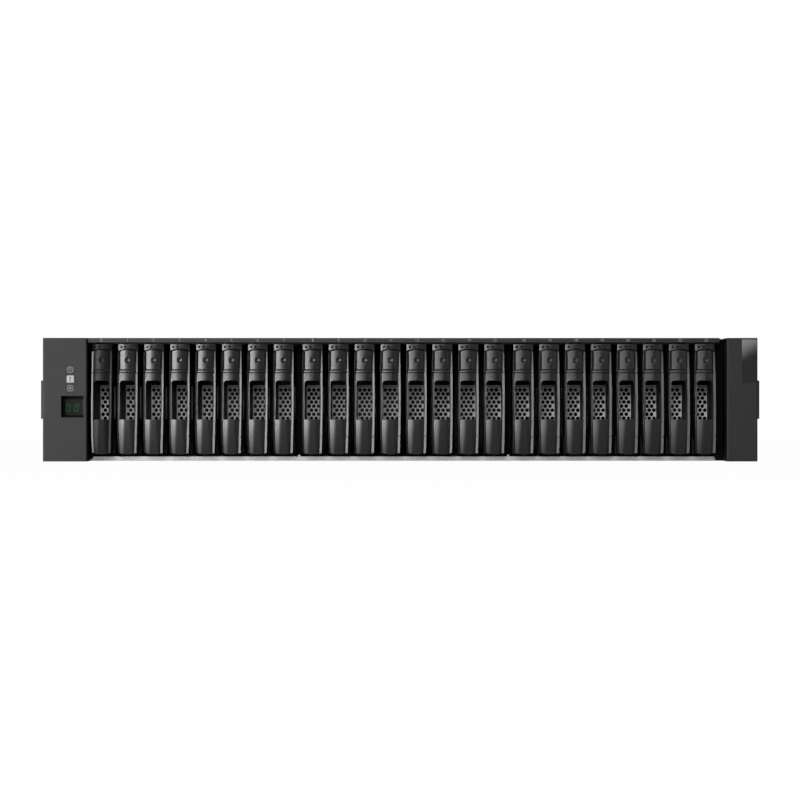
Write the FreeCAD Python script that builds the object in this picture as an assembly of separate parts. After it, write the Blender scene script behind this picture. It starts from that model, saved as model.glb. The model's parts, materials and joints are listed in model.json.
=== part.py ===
import FreeCAD, Part
import os
from math import cos, pi, radians, sin, sqrt

# Rack storage array, two units high, with 24 hot-swap drive carriers across the front.
# Millimetres. X runs across the rack, +Y to the rear and +Z up. X = 0 is the middle of the chassis,
# Y = 0 is the rear face of the rack ears, which meets the rack's posts, and Z = 0 is the underside.

# Drive bays
GROUP_COUNT = 3            # compartments across the cage
GROUP_SIZE = 8             # carriers in a compartment
BAY_PITCH = 17.5
DIVIDER_GAP = 2.0          # extra pitch where a divider stands between two compartments

# Drive and its carrier
DRIVE_THICKNESS = 14.8     # across X
DRIVE_LENGTH = 100.0
DRIVE_HEIGHT = 69.85
DRIVE_CLEARANCE = 0.175    # between the drive and each sled rail
SLED_RAIL = 2.1            # thickness of the sled's upper and lower rails
CARRIER_WIDTH = 13.6       # the carrier's face
CARRIER_CLEARANCE = 0.3    # above and below the carrier in its bay
BAY_SIDE_CLEARANCE = 0.5   # beside a sled
FRAME_REAR_Y = -6.0        # rear face of the carrier frame, where the grille sits
DRIVE_SETBACK = 39.7       # from the carrier frame to the drive
FRAME_WALL = 1.2           # side walls of the air tunnel through the frame
FRAME_BAR = 1.9            # frame material above and below the tunnel

# Cam handle
HANDLE_FRONT_Y = -29.5     # the handle's most forward line
BOW_RADIUS = 260.0         # side-view bow of the handle above its most forward line
FOOT_BOW_RADIUS = 130.0    # and below it
BOW_CHORD_COUNT = 3        # flats along the bow
BOW_APEX_RISE = 23.5       # from the carrier's underside to the most forward line
CHANNEL_DEPTH = 3.3        # hollow between the flanges, from their back edges
HANDLE_FLANGE = 1.5        # side flanges, seen from the front as narrow strips
HANDLE_DEPTH = 7.5         # from the most forward line to the back of the flanges
HANDLE_GAP = 0.3           # running gap between the handle and the carrier frame
HANDLE_TOP_DROP = 19.5     # from the carrier's top to the handle's top
HANDLE_FOOT_RISE = 0.1     # from the carrier's underside to the handle's lowest point
HANDLE_SPLIT_RISE = 12.3   # height of the frame's lower edge, above the room for the handle's foot
HANDLE_RIB = 1.6           # closes the hollow at its top and bottom
WINDOW_WIDTH = 9.4
WINDOW_HEIGHT = 26.2
WINDOW_RISE = 23.7         # from the carrier's underside to the window's sill
WINDOW_ARCH = 1.5          # rise of the window's arched head
FOOT_ARCH = 0.9            # rise of the handle's round foot at its sides
FOOT_WALL = 1.7            # the handle's face in front of the pivot, in side view
SIDE_TAPER = 0.45          # how far each side draws in at the foot
WAIST_RISE = 35.0          # from the carrier's underside to where the sides start to draw in

# Handle pivot
PIVOT_Y = -21.5
PIVOT_RISE = 5.0           # from the carrier's underside
PIN_RADIUS = 1.2
PIN_CLEARANCE = 0.05
PIN_SIDES = 6
LUG_RADIUS = 3.2
LUG_TOP_ANGLE = 75         # degrees above the level line through the pivot, towards the rear
LUG_FOOT_ANGLE = -90
LUG_SIDE_GAP = 0.25        # on each side of a cheek, to the handle's lug and to its flange
CHEEK_THICKNESS = 1.4
CHEEK_RADIUS = 2.8         # round end about the pivot
CHEEK_TOP_ANGLE = 90       # the round end, from straight up, round the front, to straight down
CHEEK_FOOT_ANGLE = 270
CHEEK_CLEARANCE = 0.35     # between a cheek and the handle's rib above it
FOOT_RECESS = 6.5          # room behind the pivot for the handle's foot
ARC_CHORD_COUNT = 3        # flats along the window's head, the handle's foot and a cheek
EDGE_CHORD_COUNT = 2       # flats along the lug

# Grille
GRILLE_SHEET = 0.8
HEX_FLATS = 4.6            # across the flats of one cell
HEX_WEB = 0.8              # material between two cells
HEX_SIDES = 6
HEX_TURN = 30              # degrees, so that the cells stand on a point
GRILLE_ROWS = 3

# Release button and indicator cap
BUTTON_WIDTH = 10.0
BUTTON_HEIGHT = 12.7
BUTTON_ARCH = 1.0
BUTTON_GAP = 0.25          # around the button in its pocket
BUTTON_PROUD = 0.6         # beyond the flanges beside it
POCKET_DEPTH = 3.0
RIDGE_HEIGHT = 1.8         # ridge between the handle and the button
UPPER_FRONT_Y = -27.6      # front of the ridge and of the flanges beside the button
CAP_BLOCK_HEIGHT = 4.0     # indicator cap
FACE_CHAMFER = 2.4         # width of the slanted sides that make the button and the cap convex
FACE_FALL = 0.9            # how far those sides fall back

# Sheet metal
CAGE_SHEET = 1.2
TRAY_SHEET = 1.5
COVER_SHEET = 1.2
LIP_DEPTH = 1.8
LIP_HEIGHT = 2.9
UPPER_LIP_REACH = 10.0     # how far the upper lip stands out over the drives
UPPER_LIP_RISE = 0.7       # from the bays' ceiling to the upper lip's underside
CAGE_FLOOR_TOP_Z = 4.2
COVER_GAP = 1.4            # between the cage's ceiling and the top cover
RIB_HEIGHT = 2.0
RIB_CLEARANCE = 0.5
RIB_SETBACK = 8.0          # from the cage's front edge
CHASSIS_FRONT_Y = -18.5    # front edge of the lips and side flanges
LEFT_CHANNEL = 13.05       # space between the cage and the left side wall
RIGHT_CHANNEL = 8.25

# Rack ears and end caps
EAR_THICKNESS = 2.0
EAR_REACH = 14.5           # beyond the side wall
EAR_END_GAP = 1.5          # ear stops short of the chassis top and bottom
EAR_HOLE_OFFSET = 8.05     # from the side wall to the hole
EAR_HOLE_RADIUS = 3.4
EAR_HOLE_SPACING = 44.45
CAP_DEPTH = 28.0
CAP_WALL = 2.0
CAP_REACH = 15.55          # beyond the side wall
CAP_GAP = 0.3              # between a cap and the chassis
CAP_EDGE = 0.8             # chamfer of the caps' upright edges
LEFT_CAP_WIDTH = 29.8
RIGHT_CAP_WIDTH = 20.95
TAB_REACH = 1.25
TAB_HEIGHT = 25.8
TAB_DEPTH = 18.0

# Status display in the left end cap
DISPLAY_WIDTH = 15.0
DISPLAY_HEIGHT = 14.4
DISPLAY_SILL_Z = 29.6
DISPLAY_EDGE = 2.3         # from the cap's bay side to the opening
DISPLAY_DEPTH = 6.0
DISPLAY_RECESS = 2.0
DISPLAY_RIM = 1.4
LAMP_WIDTH = 5.0
LAMP_PITCH = 6.15
LAMP_MIDDLE_Z = 55.4
LAMP_EDGE = 11.3           # from the cap's bay side to the lamps
LAMP_CLEARANCE = 0.1

# Midplane
CONNECTOR_LENGTH = 6.0     # drive connectors, in front of the board
CONNECTOR_WIDTH = 6.0
CONNECTOR_HEIGHT = 34.0
CONNECTOR_GAP = 0.3        # between a connector's face and what plugs on to it
BOARD_THICKNESS = 2.4
AIR_SLOT_HEIGHT = 9.0
AIR_SLOT_MARGIN = 6.0
REAR_CONNECTOR_LENGTH = 7.3
REAR_CONNECTOR_WIDTH = 60.0
REAR_CONNECTOR_HEIGHT = 14.0

# Rear canisters
CANISTER_LENGTH = 290.0
CANISTER_SHEET = 1.2
CANISTER_CLEARANCE = 0.3
POWER_HEIGHT = 36.9
DIVIDER_SHEET = 1.5
PULL_WIDTH = 60.0
PULL_DEPTH = 12.7
PULL_BAR = 4.0
PULL_HEIGHT = 8.0
PULL_EDGE = 14.0           # from the canister's outer side
SFP_COUNT = 4
SFP_WIDTH = 14.2
SFP_HEIGHT = 9.4
SFP_PITCH = 17.0
SFP_DEPTH = 45.0
JACK_COUNT = 2
JACK_WIDTH = 12.0
JACK_HEIGHT = 10.0
JACK_PITCH = 16.0
JACK_DEPTH = 14.0
PORT_WALL = 1.4
PORT_RISE = 5.0            # from the canister's floor to the ports
PORT_START = 16.0          # from the canister's inner side to the first port
PORT_GROUP_GAP = 12.0
MAIN_BOARD_RISE = 2.0
MAIN_BOARD_THICKNESS = 1.6
MAIN_BOARD_MARGIN = 3.0
STANDOFF_WIDTH = 8.0
STANDOFF_INSET = 12.0      # from the board's edges
INLET_WIDTH = 27.4
INLET_HEIGHT = 20.0
INLET_DEPTH = 16.0
INLET_WALL = 2.0
INLET_START = 18.0
VENT_COUNT = 6
VENT_WIDTH = 8.0
VENT_PITCH = 11.0
VENT_MARGIN = 5.0
VENT_START = 56.0
MODULE_LENGTH = 180.0
MODULE_SETBACK = 60.0      # from the rear wall to the power module
MODULE_MARGIN = 6.0

# Levels and planes worked out from the sizes above
CARRIER_BOTTOM_Z = CAGE_FLOOR_TOP_Z + CARRIER_CLEARANCE
CARRIER_HEIGHT = DRIVE_HEIGHT + 2 * (SLED_RAIL + DRIVE_CLEARANCE)
CARRIER_TOP_Z = CARRIER_BOTTOM_Z + CARRIER_HEIGHT
CEILING_Z = CARRIER_TOP_Z + CARRIER_CLEARANCE
COVER_BOTTOM_Z = CEILING_Z + CAGE_SHEET + COVER_GAP
HEIGHT = COVER_BOTTOM_Z + COVER_SHEET

SLED_REAR_Y = FRAME_REAR_Y + DRIVE_SETBACK + DRIVE_LENGTH
BOARD_Y = SLED_REAR_Y + CONNECTOR_GAP + CONNECTOR_LENGTH
CANISTER_FRONT_Y = BOARD_Y + BOARD_THICKNESS + REAR_CONNECTOR_LENGTH + CONNECTOR_GAP
CHASSIS_REAR_Y = CANISTER_FRONT_Y + CANISTER_LENGTH
CAP_FRONT_Y = -EAR_THICKNESS - CAP_DEPTH

GROUP_PITCH = GROUP_SIZE * BAY_PITCH + DIVIDER_GAP
GROUP_WIDTH = (GROUP_SIZE - 1) * BAY_PITCH + DRIVE_THICKNESS + 2 * BAY_SIDE_CLEARANCE
CAGE_WIDTH = (GROUP_COUNT - 1) * GROUP_PITCH + GROUP_WIDTH + 2 * CAGE_SHEET
BODY_WIDTH = CAGE_WIDTH + LEFT_CHANNEL + RIGHT_CHANNEL + 2 * TRAY_SHEET
BAY_CENTRE_X = (LEFT_CHANNEL - RIGHT_CHANNEL) / 2
CAGE_LEFT_X = BAY_CENTRE_X - CAGE_WIDTH / 2
CAGE_RIGHT_X = BAY_CENTRE_X + CAGE_WIDTH / 2
INNER_HALF = BODY_WIDTH / 2 - TRAY_SHEET

HANDLE_TOP_Z = CARRIER_TOP_Z - HANDLE_TOP_DROP
HANDLE_FOOT_Z = CARRIER_BOTTOM_Z + HANDLE_FOOT_RISE
HANDLE_SPLIT_Z = CARRIER_BOTTOM_Z + HANDLE_SPLIT_RISE
HANDLE_BACK_Y = HANDLE_FRONT_Y + HANDLE_DEPTH
BOW_APEX_Z = CARRIER_BOTTOM_Z + BOW_APEX_RISE
WINDOW_SILL_Z = CARRIER_BOTTOM_Z + WINDOW_RISE
WAIST_Z = CARRIER_BOTTOM_Z + WAIST_RISE
PIVOT_Z = CARRIER_BOTTOM_Z + PIVOT_RISE
FOOT_ROOM_TOP_Z = PIVOT_Z + CHEEK_RADIUS + CHEEK_CLEARANCE
CHANNEL_HALF = CARRIER_WIDTH / 2 - HANDLE_FLANGE
CHEEK_OUTER_X = CHANNEL_HALF - LUG_SIDE_GAP
CHEEK_INNER_X = CHEEK_OUTER_X - CHEEK_THICKNESS
LUG_HALF = CHEEK_INNER_X - LUG_SIDE_GAP
FRAME_FRONT_Y = HANDLE_BACK_Y + HANDLE_GAP
UPPER_SILL_Z = HANDLE_TOP_Z + HANDLE_GAP
RECESS_Y = PIVOT_Y + FOOT_RECESS
POCKET_Y = UPPER_FRONT_Y + POCKET_DEPTH
BUTTON_SILL_Z = UPPER_SILL_Z + RIDGE_HEIGHT
CAP_BLOCK_SILL_Z = CARRIER_TOP_Z - CAP_BLOCK_HEIGHT

SHELF_Z = TRAY_SHEET + 2 * CANISTER_CLEARANCE + POWER_HEIGHT
CANISTER_WIDTH = INNER_HALF - DIVIDER_SHEET / 2 - 2 * CANISTER_CLEARANCE
CONTROLLER_SILL_Z = SHELF_Z + DIVIDER_SHEET + CANISTER_CLEARANCE
CONTROLLER_HEIGHT = COVER_BOTTOM_Z - CANISTER_CLEARANCE - CONTROLLER_SILL_Z
POWER_SILL_Z = TRAY_SHEET + CANISTER_CLEARANCE


def box(x0, x1, y0, y1, z0, z1):
    return Part.makeBox(x1 - x0, y1 - y0, z1 - z0, FreeCAD.Vector(x0, y0, z0))


def extruded(corners, direction):
    wire = Part.makePolygon(corners + corners[:1])
    return Part.Face(wire).extrude(direction)


def along_x(outline, x0, x1):
    """A prism between two X planes; the outline holds (y, z) pairs."""
    return extruded([FreeCAD.Vector(x0, y, z) for y, z in outline], FreeCAD.Vector(x1 - x0, 0, 0))


def along_y(outline, y0, y1):
    """A prism between two Y planes; the outline holds (x, z) pairs."""
    return extruded([FreeCAD.Vector(x, y0, z) for x, z in outline], FreeCAD.Vector(0, y1 - y0, 0))


def along_z(outline, z0, z1):
    """A prism between two Z planes; the outline holds (x, y) pairs."""
    return extruded([FreeCAD.Vector(x, y, z0) for x, y in outline], FreeCAD.Vector(0, 0, z1 - z0))


def joined(first, *others):
    return first.multiFuse(list(others)).removeSplitter()


def arc(centre, radius, start, end, chords=ARC_CHORD_COUNT):
    """Points along a round stretch, from one angle to another in degrees."""
    step = (end - start) / chords
    angles = [radians(start + step * i) for i in range(chords + 1)]
    return [(centre[0] + radius * cos(a), centre[1] + radius * sin(a)) for a in angles]


def polygon(centre, corner_radius, sides, turn):
    """Corners of a regular outline, the first at the given angle in degrees."""
    step = 360 / sides
    return arc(centre, corner_radius, turn, turn + 360 - step, sides - 1)


def arched(half_width, sill, spring, rise, chords=ARC_CHORD_COUNT):
    """An upright outline with a straight sill and a shallow arched head."""
    steps = [1 - 2 * i / chords for i in range(chords + 1)]
    head = [(half_width * s, spring + rise * (1 - s * s)) for s in steps]
    return [(-half_width, sill), (half_width, sill)] + head


def mirrored(shape):
    return shape.mirror(FreeCAD.Vector(0, 0, 0), FreeCAD.Vector(1, 0, 0))


def moved(shape, x):
    return shape.translated(FreeCAD.Vector(x, 0, 0))


def save(node, *solids):
    shape = solids[0] if len(solids) == 1 else Part.makeCompound(list(solids))
    shape.exportStep("parts/" + node + ".step")


def bay_centres():
    """The middle of each bay, from left to right."""
    first_group = BAY_CENTRE_X - (GROUP_COUNT - 1) / 2 * GROUP_PITCH
    first_bay = -(GROUP_SIZE - 1) / 2 * BAY_PITCH
    return [
        first_group + group * GROUP_PITCH + first_bay + bay * BAY_PITCH
        for group in range(GROUP_COUNT)
        for bay in range(GROUP_SIZE)
    ]


def group_centres():
    return [BAY_CENTRE_X + (group - (GROUP_COUNT - 1) / 2) * GROUP_PITCH for group in range(GROUP_COUNT)]


# Cam handle, made in the bay at X = 0

def bow_line(low, high):
    """The handle's bowed front in side view, between two heights."""
    heights = [low + (high - low) * i / BOW_CHORD_COUNT for i in range(BOW_CHORD_COUNT + 1)]
    line = []
    for z in heights:
        radius = BOW_RADIUS if z > BOW_APEX_Z else FOOT_BOW_RADIUS
        line.append((HANDLE_FRONT_Y + radius - sqrt(radius**2 - (z - BOW_APEX_Z) ** 2), z))
    return line


def handle_front_outline():
    """Front view: straight sides that draw in towards a slightly round foot."""
    half = CARRIER_WIDTH / 2
    foot_half = half - SIDE_TAPER
    foot_steps = [-1 + 2 * i / ARC_CHORD_COUNT for i in range(ARC_CHORD_COUNT + 1)]
    foot = [(foot_half * s, HANDLE_FOOT_Z + FOOT_ARCH * s * s) for s in foot_steps]
    right = [(half, WAIST_Z), (half, HANDLE_TOP_Z)]
    left = [(-x, z) for x, z in reversed(right)]
    return foot + right + left


def pivot_prism(inner_radius, x0, x1):
    """A flat-sided bar along the pivot's axis, round enough for a pin or its bore."""
    outline = polygon((PIVOT_Y, PIVOT_Z), inner_radius / cos(pi / PIN_SIDES), PIN_SIDES, 0)
    return along_x(outline, x0, x1)


def cam_handle():
    """Bowed lever with a window, hollow behind between its flanges, and a lug that turns on the pin."""
    half = CARRIER_WIDTH / 2
    bow = bow_line(HANDLE_FOOT_Z, HANDLE_TOP_Z)
    back = [(HANDLE_BACK_Y, HANDLE_TOP_Z), (HANDLE_BACK_Y, HANDLE_FOOT_Z)]
    behind_face = [(y + FOOT_WALL, z) for y, z in bow] + back
    below_rib = box(
        -CHANNEL_HALF,
        CHANNEL_HALF,
        HANDLE_FRONT_Y,
        HANDLE_BACK_Y,
        HANDLE_FOOT_Z,
        FOOT_ROOM_TOP_Z,
    )
    foot_room = along_x(behind_face, -CHANNEL_HALF, CHANNEL_HALF).common(below_rib)
    round_end = arc((PIVOT_Y, PIVOT_Z), LUG_RADIUS, LUG_TOP_ANGLE, LUG_FOOT_ANGLE, EDGE_CHORD_COUNT)
    in_face = [(y + FOOT_WALL / 2, z) for y, z in bow[:2]]
    above = [(HANDLE_BACK_Y, bow[1][1]), (HANDLE_BACK_Y, HANDLE_SPLIT_Z)]
    lug = along_x(in_face + above + round_end, -LUG_HALF, LUG_HALF)
    lever = along_x(bow + back, -half, half).cut(foot_room)
    body = joined(lever, lug).common(along_y(handle_front_outline(), HANDLE_FRONT_Y, RECESS_Y))
    channel = box(
        -CHANNEL_HALF,
        CHANNEL_HALF,
        HANDLE_BACK_Y - CHANNEL_DEPTH,
        HANDLE_BACK_Y,
        HANDLE_SPLIT_Z + HANDLE_RIB,
        HANDLE_TOP_Z - HANDLE_RIB,
    )
    spring = WINDOW_SILL_Z + WINDOW_HEIGHT - WINDOW_ARCH
    window_outline = arched(WINDOW_WIDTH / 2, WINDOW_SILL_Z, spring, WINDOW_ARCH)
    window = along_y(window_outline, HANDLE_FRONT_Y, HANDLE_BACK_Y)
    bore = pivot_prism(PIN_RADIUS + PIN_CLEARANCE, -LUG_HALF, LUG_HALF)
    return body.cut([channel, window, bore]).removeSplitter()


# Drive carrier, made in the bay at X = 0

def cheek():
    """The right-hand ear that carries the pivot pin, between the handle's lug and its flange."""
    round_end = arc((PIVOT_Y, PIVOT_Z), CHEEK_RADIUS, CHEEK_TOP_ANGLE, CHEEK_FOOT_ANGLE)
    behind = [(RECESS_Y, PIVOT_Z - CHEEK_RADIUS), (RECESS_Y, PIVOT_Z + CHEEK_RADIUS)]
    return along_x(behind + round_end, CHEEK_INNER_X, CHEEK_OUTER_X)


def sled():
    """Carrier frame with its air tunnel, button pocket and cheeks, and the two rails behind it."""
    half = CARRIER_WIDTH / 2
    side_view = [
        (RECESS_Y, CARRIER_BOTTOM_Z),
        (RECESS_Y, HANDLE_SPLIT_Z),
        (FRAME_FRONT_Y, HANDLE_SPLIT_Z),
        (FRAME_FRONT_Y, UPPER_SILL_Z),
        (UPPER_FRONT_Y, UPPER_SILL_Z),
        (UPPER_FRONT_Y, CAP_BLOCK_SILL_Z),
        (POCKET_Y, CAP_BLOCK_SILL_Z),
        (POCKET_Y, CARRIER_TOP_Z),
        (SLED_REAR_Y, CARRIER_TOP_Z),
        (SLED_REAR_Y, CARRIER_TOP_Z - SLED_RAIL),
        (FRAME_REAR_Y, CARRIER_TOP_Z - SLED_RAIL),
        (FRAME_REAR_Y, CARRIER_BOTTOM_Z + SLED_RAIL),
        (SLED_REAR_Y, CARRIER_BOTTOM_Z + SLED_RAIL),
        (SLED_REAR_Y, CARRIER_BOTTOM_Z),
    ]
    frame = along_x(side_view, -half, half)
    tunnel_half = half - FRAME_WALL
    tunnel = box(
        -tunnel_half,
        tunnel_half,
        FRAME_FRONT_Y,
        FRAME_REAR_Y,
        HANDLE_SPLIT_Z + FRAME_BAR,
        UPPER_SILL_Z - FRAME_BAR,
    )
    pocket_half = BUTTON_WIDTH / 2 + BUTTON_GAP
    pocket = box(-pocket_half, pocket_half, UPPER_FRONT_Y, POCKET_Y, BUTTON_SILL_Z, CAP_BLOCK_SILL_Z)
    return joined(frame.cut([tunnel, pocket]), cheek(), mirrored(cheek()))


def grille():
    """Sheet across the air tunnel's rear, with staggered six-sided cells behind the handle's window."""
    half = CARRIER_WIDTH / 2
    rear = FRAME_REAR_Y + GRILLE_SHEET
    sheet = box(-half, half, FRAME_REAR_Y, rear, HANDLE_SPLIT_Z, UPPER_SILL_Z)
    pitch = HEX_FLATS + HEX_WEB
    row_pitch = pitch * sqrt(3) / 2
    first_z = WINDOW_SILL_Z + WINDOW_HEIGHT / 2 - (GRILLE_ROWS - 1) / 2 * row_pitch
    cells = []
    for row in range(GRILLE_ROWS):
        columns = (0.0,) if row % 2 else (-pitch / 2, pitch / 2)
        for x in columns:
            outline = polygon((x, first_z + row * row_pitch), HEX_FLATS / sqrt(3), HEX_SIDES, HEX_TURN)
            cells.append(along_y(outline, FRAME_REAR_Y, rear))
    return sheet.cut(cells)


def convex_face(half, front_y):
    """Plan outline with a flat front and slanted sides, which reads as a rounded face."""
    return [
        (-half, POCKET_Y),
        (-half, front_y + FACE_FALL),
        (-half + FACE_CHAMFER, front_y),
        (half - FACE_CHAMFER, front_y),
        (half, front_y + FACE_FALL),
        (half, POCKET_Y),
    ]


def release_button():
    half = BUTTON_WIDTH / 2
    front_y = UPPER_FRONT_Y - BUTTON_PROUD
    sill = BUTTON_SILL_Z + BUTTON_GAP
    top = min(sill + BUTTON_HEIGHT, CAP_BLOCK_SILL_Z - BUTTON_GAP)
    body = along_z(convex_face(half, front_y), sill, top)
    return body.common(along_y(arched(half, sill, top - BUTTON_ARCH, BUTTON_ARCH), front_y, POCKET_Y))


def indicator_cap():
    half = CARRIER_WIDTH / 2
    return along_z(convex_face(half, UPPER_FRONT_Y), CAP_BLOCK_SILL_Z, CARRIER_TOP_Z)


def pivot_pin():
    """Pin between the cheeks; its corners stay inside the handle's bore as the handle turns."""
    return pivot_prism(PIN_RADIUS * cos(pi / PIN_SIDES), -CHEEK_INNER_X, CHEEK_INNER_X)


def drive():
    half = DRIVE_THICKNESS / 2
    low = CARRIER_BOTTOM_Z + SLED_RAIL + DRIVE_CLEARANCE
    return box(-half, half, SLED_REAR_Y - DRIVE_LENGTH, SLED_REAR_Y, low, low + DRIVE_HEIGHT)


# Chassis

def drive_cage():
    """Three compartments side by side, with guide ribs between bays, an upper lip and side flanges."""
    body = box(
        CAGE_LEFT_X,
        CAGE_RIGHT_X,
        CHASSIS_FRONT_Y + LIP_DEPTH,
        BOARD_Y,
        CAGE_FLOOR_TOP_Z - CAGE_SHEET,
        CEILING_Z + CAGE_SHEET,
    )
    compartments = [
        box(
            x - GROUP_WIDTH / 2,
            x + GROUP_WIDTH / 2,
            CHASSIS_FRONT_Y,
            BOARD_Y,
            CAGE_FLOOR_TOP_Z,
            CEILING_Z,
        )
        for x in group_centres()
    ]
    walls = [
        box(x, x + CAGE_SHEET, CHASSIS_FRONT_Y + LIP_DEPTH, BOARD_Y, TRAY_SHEET, COVER_BOTTOM_Z)
        for x in (CAGE_LEFT_X, CAGE_RIGHT_X - CAGE_SHEET)
    ]
    lip = box(
        CAGE_LEFT_X,
        CAGE_RIGHT_X,
        CHASSIS_FRONT_Y,
        CHASSIS_FRONT_Y + LIP_DEPTH,
        CEILING_Z,
        COVER_BOTTOM_Z + COVER_SHEET,
    )
    shelf = box(
        CAGE_LEFT_X,
        CAGE_RIGHT_X,
        CHASSIS_FRONT_Y - UPPER_LIP_REACH,
        CHASSIS_FRONT_Y,
        CEILING_Z + UPPER_LIP_RISE,
        COVER_BOTTOM_Z + COVER_SHEET,
    )
    flanges = [
        box(x0, x1, CHASSIS_FRONT_Y, CHASSIS_FRONT_Y + LIP_DEPTH, TRAY_SHEET, COVER_BOTTOM_Z)
        for x0, x1 in ((-INNER_HALF, CAGE_LEFT_X + CAGE_SHEET), (CAGE_RIGHT_X - CAGE_SHEET, INNER_HALF))
    ]
    return joined(body.cut(compartments), *walls, lip, shelf, *flanges, *guide_ribs())


def guide_ribs():
    """Ribs on the cage's floor that keep neighbouring sleds apart."""
    half = (BAY_PITCH - CARRIER_WIDTH) / 2 - RIB_CLEARANCE
    low = CAGE_FLOOR_TOP_Z
    middles = [
        group + (gap - (GROUP_SIZE - 2) / 2) * BAY_PITCH
        for group in group_centres()
        for gap in range(GROUP_SIZE - 1)
    ]
    front = CHASSIS_FRONT_Y + RIB_SETBACK
    return [box(x - half, x + half, front, BOARD_Y, low, low + RIB_HEIGHT) for x in middles]


def chassis_tray():
    """Floor with its front lip, side walls, and the rack ears with their screw holes."""
    half = BODY_WIDTH / 2
    floor = box(-half, half, CHASSIS_FRONT_Y, CHASSIS_REAR_Y, 0, TRAY_SHEET)
    lip = box(
        CAGE_LEFT_X + CAGE_SHEET,
        CAGE_RIGHT_X - CAGE_SHEET,
        CHASSIS_FRONT_Y,
        CHASSIS_FRONT_Y + LIP_DEPTH,
        0,
        LIP_HEIGHT,
    )
    wall = box(INNER_HALF, half, CHASSIS_FRONT_Y, CHASSIS_REAR_Y, 0, COVER_BOTTOM_Z)
    ear = box(half, half + EAR_REACH, -EAR_THICKNESS, 0, EAR_END_GAP, HEIGHT - EAR_END_GAP)
    holes = [
        Part.makeCylinder(
            EAR_HOLE_RADIUS,
            EAR_THICKNESS,
            FreeCAD.Vector(half + EAR_HOLE_OFFSET, -EAR_THICKNESS, HEIGHT / 2 + z),
            FreeCAD.Vector(0, 1, 0),
        )
        for z in (-EAR_HOLE_SPACING / 2, EAR_HOLE_SPACING / 2)
    ]
    ear = ear.cut(holes)
    return joined(floor, lip, wall, mirrored(wall), ear, mirrored(ear))


def top_cover():
    half = BODY_WIDTH / 2
    return box(-half, half, CHASSIS_FRONT_Y + LIP_DEPTH, CHASSIS_REAR_Y, COVER_BOTTOM_Z, HEIGHT)


def midplane_board():
    """Board behind the cage: a connector for each drive, air slots, and connectors for the canisters."""
    board = box(CAGE_LEFT_X, CAGE_RIGHT_X, BOARD_Y, BOARD_Y + BOARD_THICKNESS, TRAY_SHEET, COVER_BOTTOM_Z)
    slots = [
        box(
            x - GROUP_WIDTH / 2 + AIR_SLOT_MARGIN,
            x + GROUP_WIDTH / 2 - AIR_SLOT_MARGIN,
            BOARD_Y,
            BOARD_Y + BOARD_THICKNESS,
            z,
            z + AIR_SLOT_HEIGHT,
        )
        for x in group_centres()
        for z in (CARRIER_BOTTOM_Z + AIR_SLOT_MARGIN, CARRIER_TOP_Z - AIR_SLOT_MARGIN - AIR_SLOT_HEIGHT)
    ]
    middle = (CARRIER_BOTTOM_Z + CARRIER_TOP_Z) / 2
    drive_connectors = [
        box(
            x - CONNECTOR_WIDTH / 2,
            x + CONNECTOR_WIDTH / 2,
            BOARD_Y - CONNECTOR_LENGTH,
            BOARD_Y,
            middle - CONNECTOR_HEIGHT / 2,
            middle + CONNECTOR_HEIGHT / 2,
        )
        for x in bay_centres()
    ]
    rear = BOARD_Y + BOARD_THICKNESS
    canister_connectors = [
        box(
            x - REAR_CONNECTOR_WIDTH / 2,
            x + REAR_CONNECTOR_WIDTH / 2,
            rear,
            rear + REAR_CONNECTOR_LENGTH,
            z - REAR_CONNECTOR_HEIGHT / 2,
            z + REAR_CONNECTOR_HEIGHT / 2,
        )
        for x in (-INNER_HALF / 2, INNER_HALF / 2)
        for z in (POWER_SILL_Z + POWER_HEIGHT / 2, CONTROLLER_SILL_Z + CONTROLLER_HEIGHT / 2)
    ]
    return [board.cut(slots)] + drive_connectors + canister_connectors


def rear_bay_divider():
    """Shelf that carries the upper canisters, and the wall between left and right."""
    shelf = box(-INNER_HALF, INNER_HALF, CANISTER_FRONT_Y, CHASSIS_REAR_Y, SHELF_Z, SHELF_Z + DIVIDER_SHEET)
    half = DIVIDER_SHEET / 2
    wall = box(-half, half, CANISTER_FRONT_Y, CHASSIS_REAR_Y, TRAY_SHEET, COVER_BOTTOM_Z)
    return joined(shelf, wall)


# End caps, made for the right-hand side with outward as +X, then mirrored for the left

def end_cap(width):
    """Hollow cover over a rack ear and the chassis corner, open behind, with a tab on its outer side."""
    outer = BODY_WIDTH / 2 + CAP_REACH
    inner = outer - width
    corner_x = BODY_WIDTH / 2 + CAP_GAP
    corner_y = CHASSIS_FRONT_Y - CAP_GAP
    rear = -EAR_THICKNESS
    outline = [
        (inner, CAP_FRONT_Y + CAP_EDGE),
        (inner + CAP_EDGE, CAP_FRONT_Y),
        (outer - CAP_EDGE, CAP_FRONT_Y),
        (outer, CAP_FRONT_Y + CAP_EDGE),
        (outer, rear),
        (corner_x, rear),
        (corner_x, corner_y),
        (inner, corner_y),
    ]
    hollow = [
        (inner + CAP_WALL, CAP_FRONT_Y + CAP_WALL),
        (outer - CAP_WALL, CAP_FRONT_Y + CAP_WALL),
        (outer - CAP_WALL, rear),
        (corner_x, rear),
        (corner_x, corner_y),
        (inner + CAP_WALL, corner_y),
    ]
    shell = along_z(outline, 0, HEIGHT).cut(along_z(hollow, CAP_WALL, HEIGHT - CAP_WALL))
    tab = box(
        outer,
        outer + TAB_REACH,
        CAP_FRONT_Y + CAP_EDGE,
        CAP_FRONT_Y + CAP_EDGE + TAB_DEPTH,
        HEIGHT / 2 - TAB_HEIGHT / 2,
        HEIGHT / 2 + TAB_HEIGHT / 2,
    )
    return joined(shell, tab)


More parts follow.
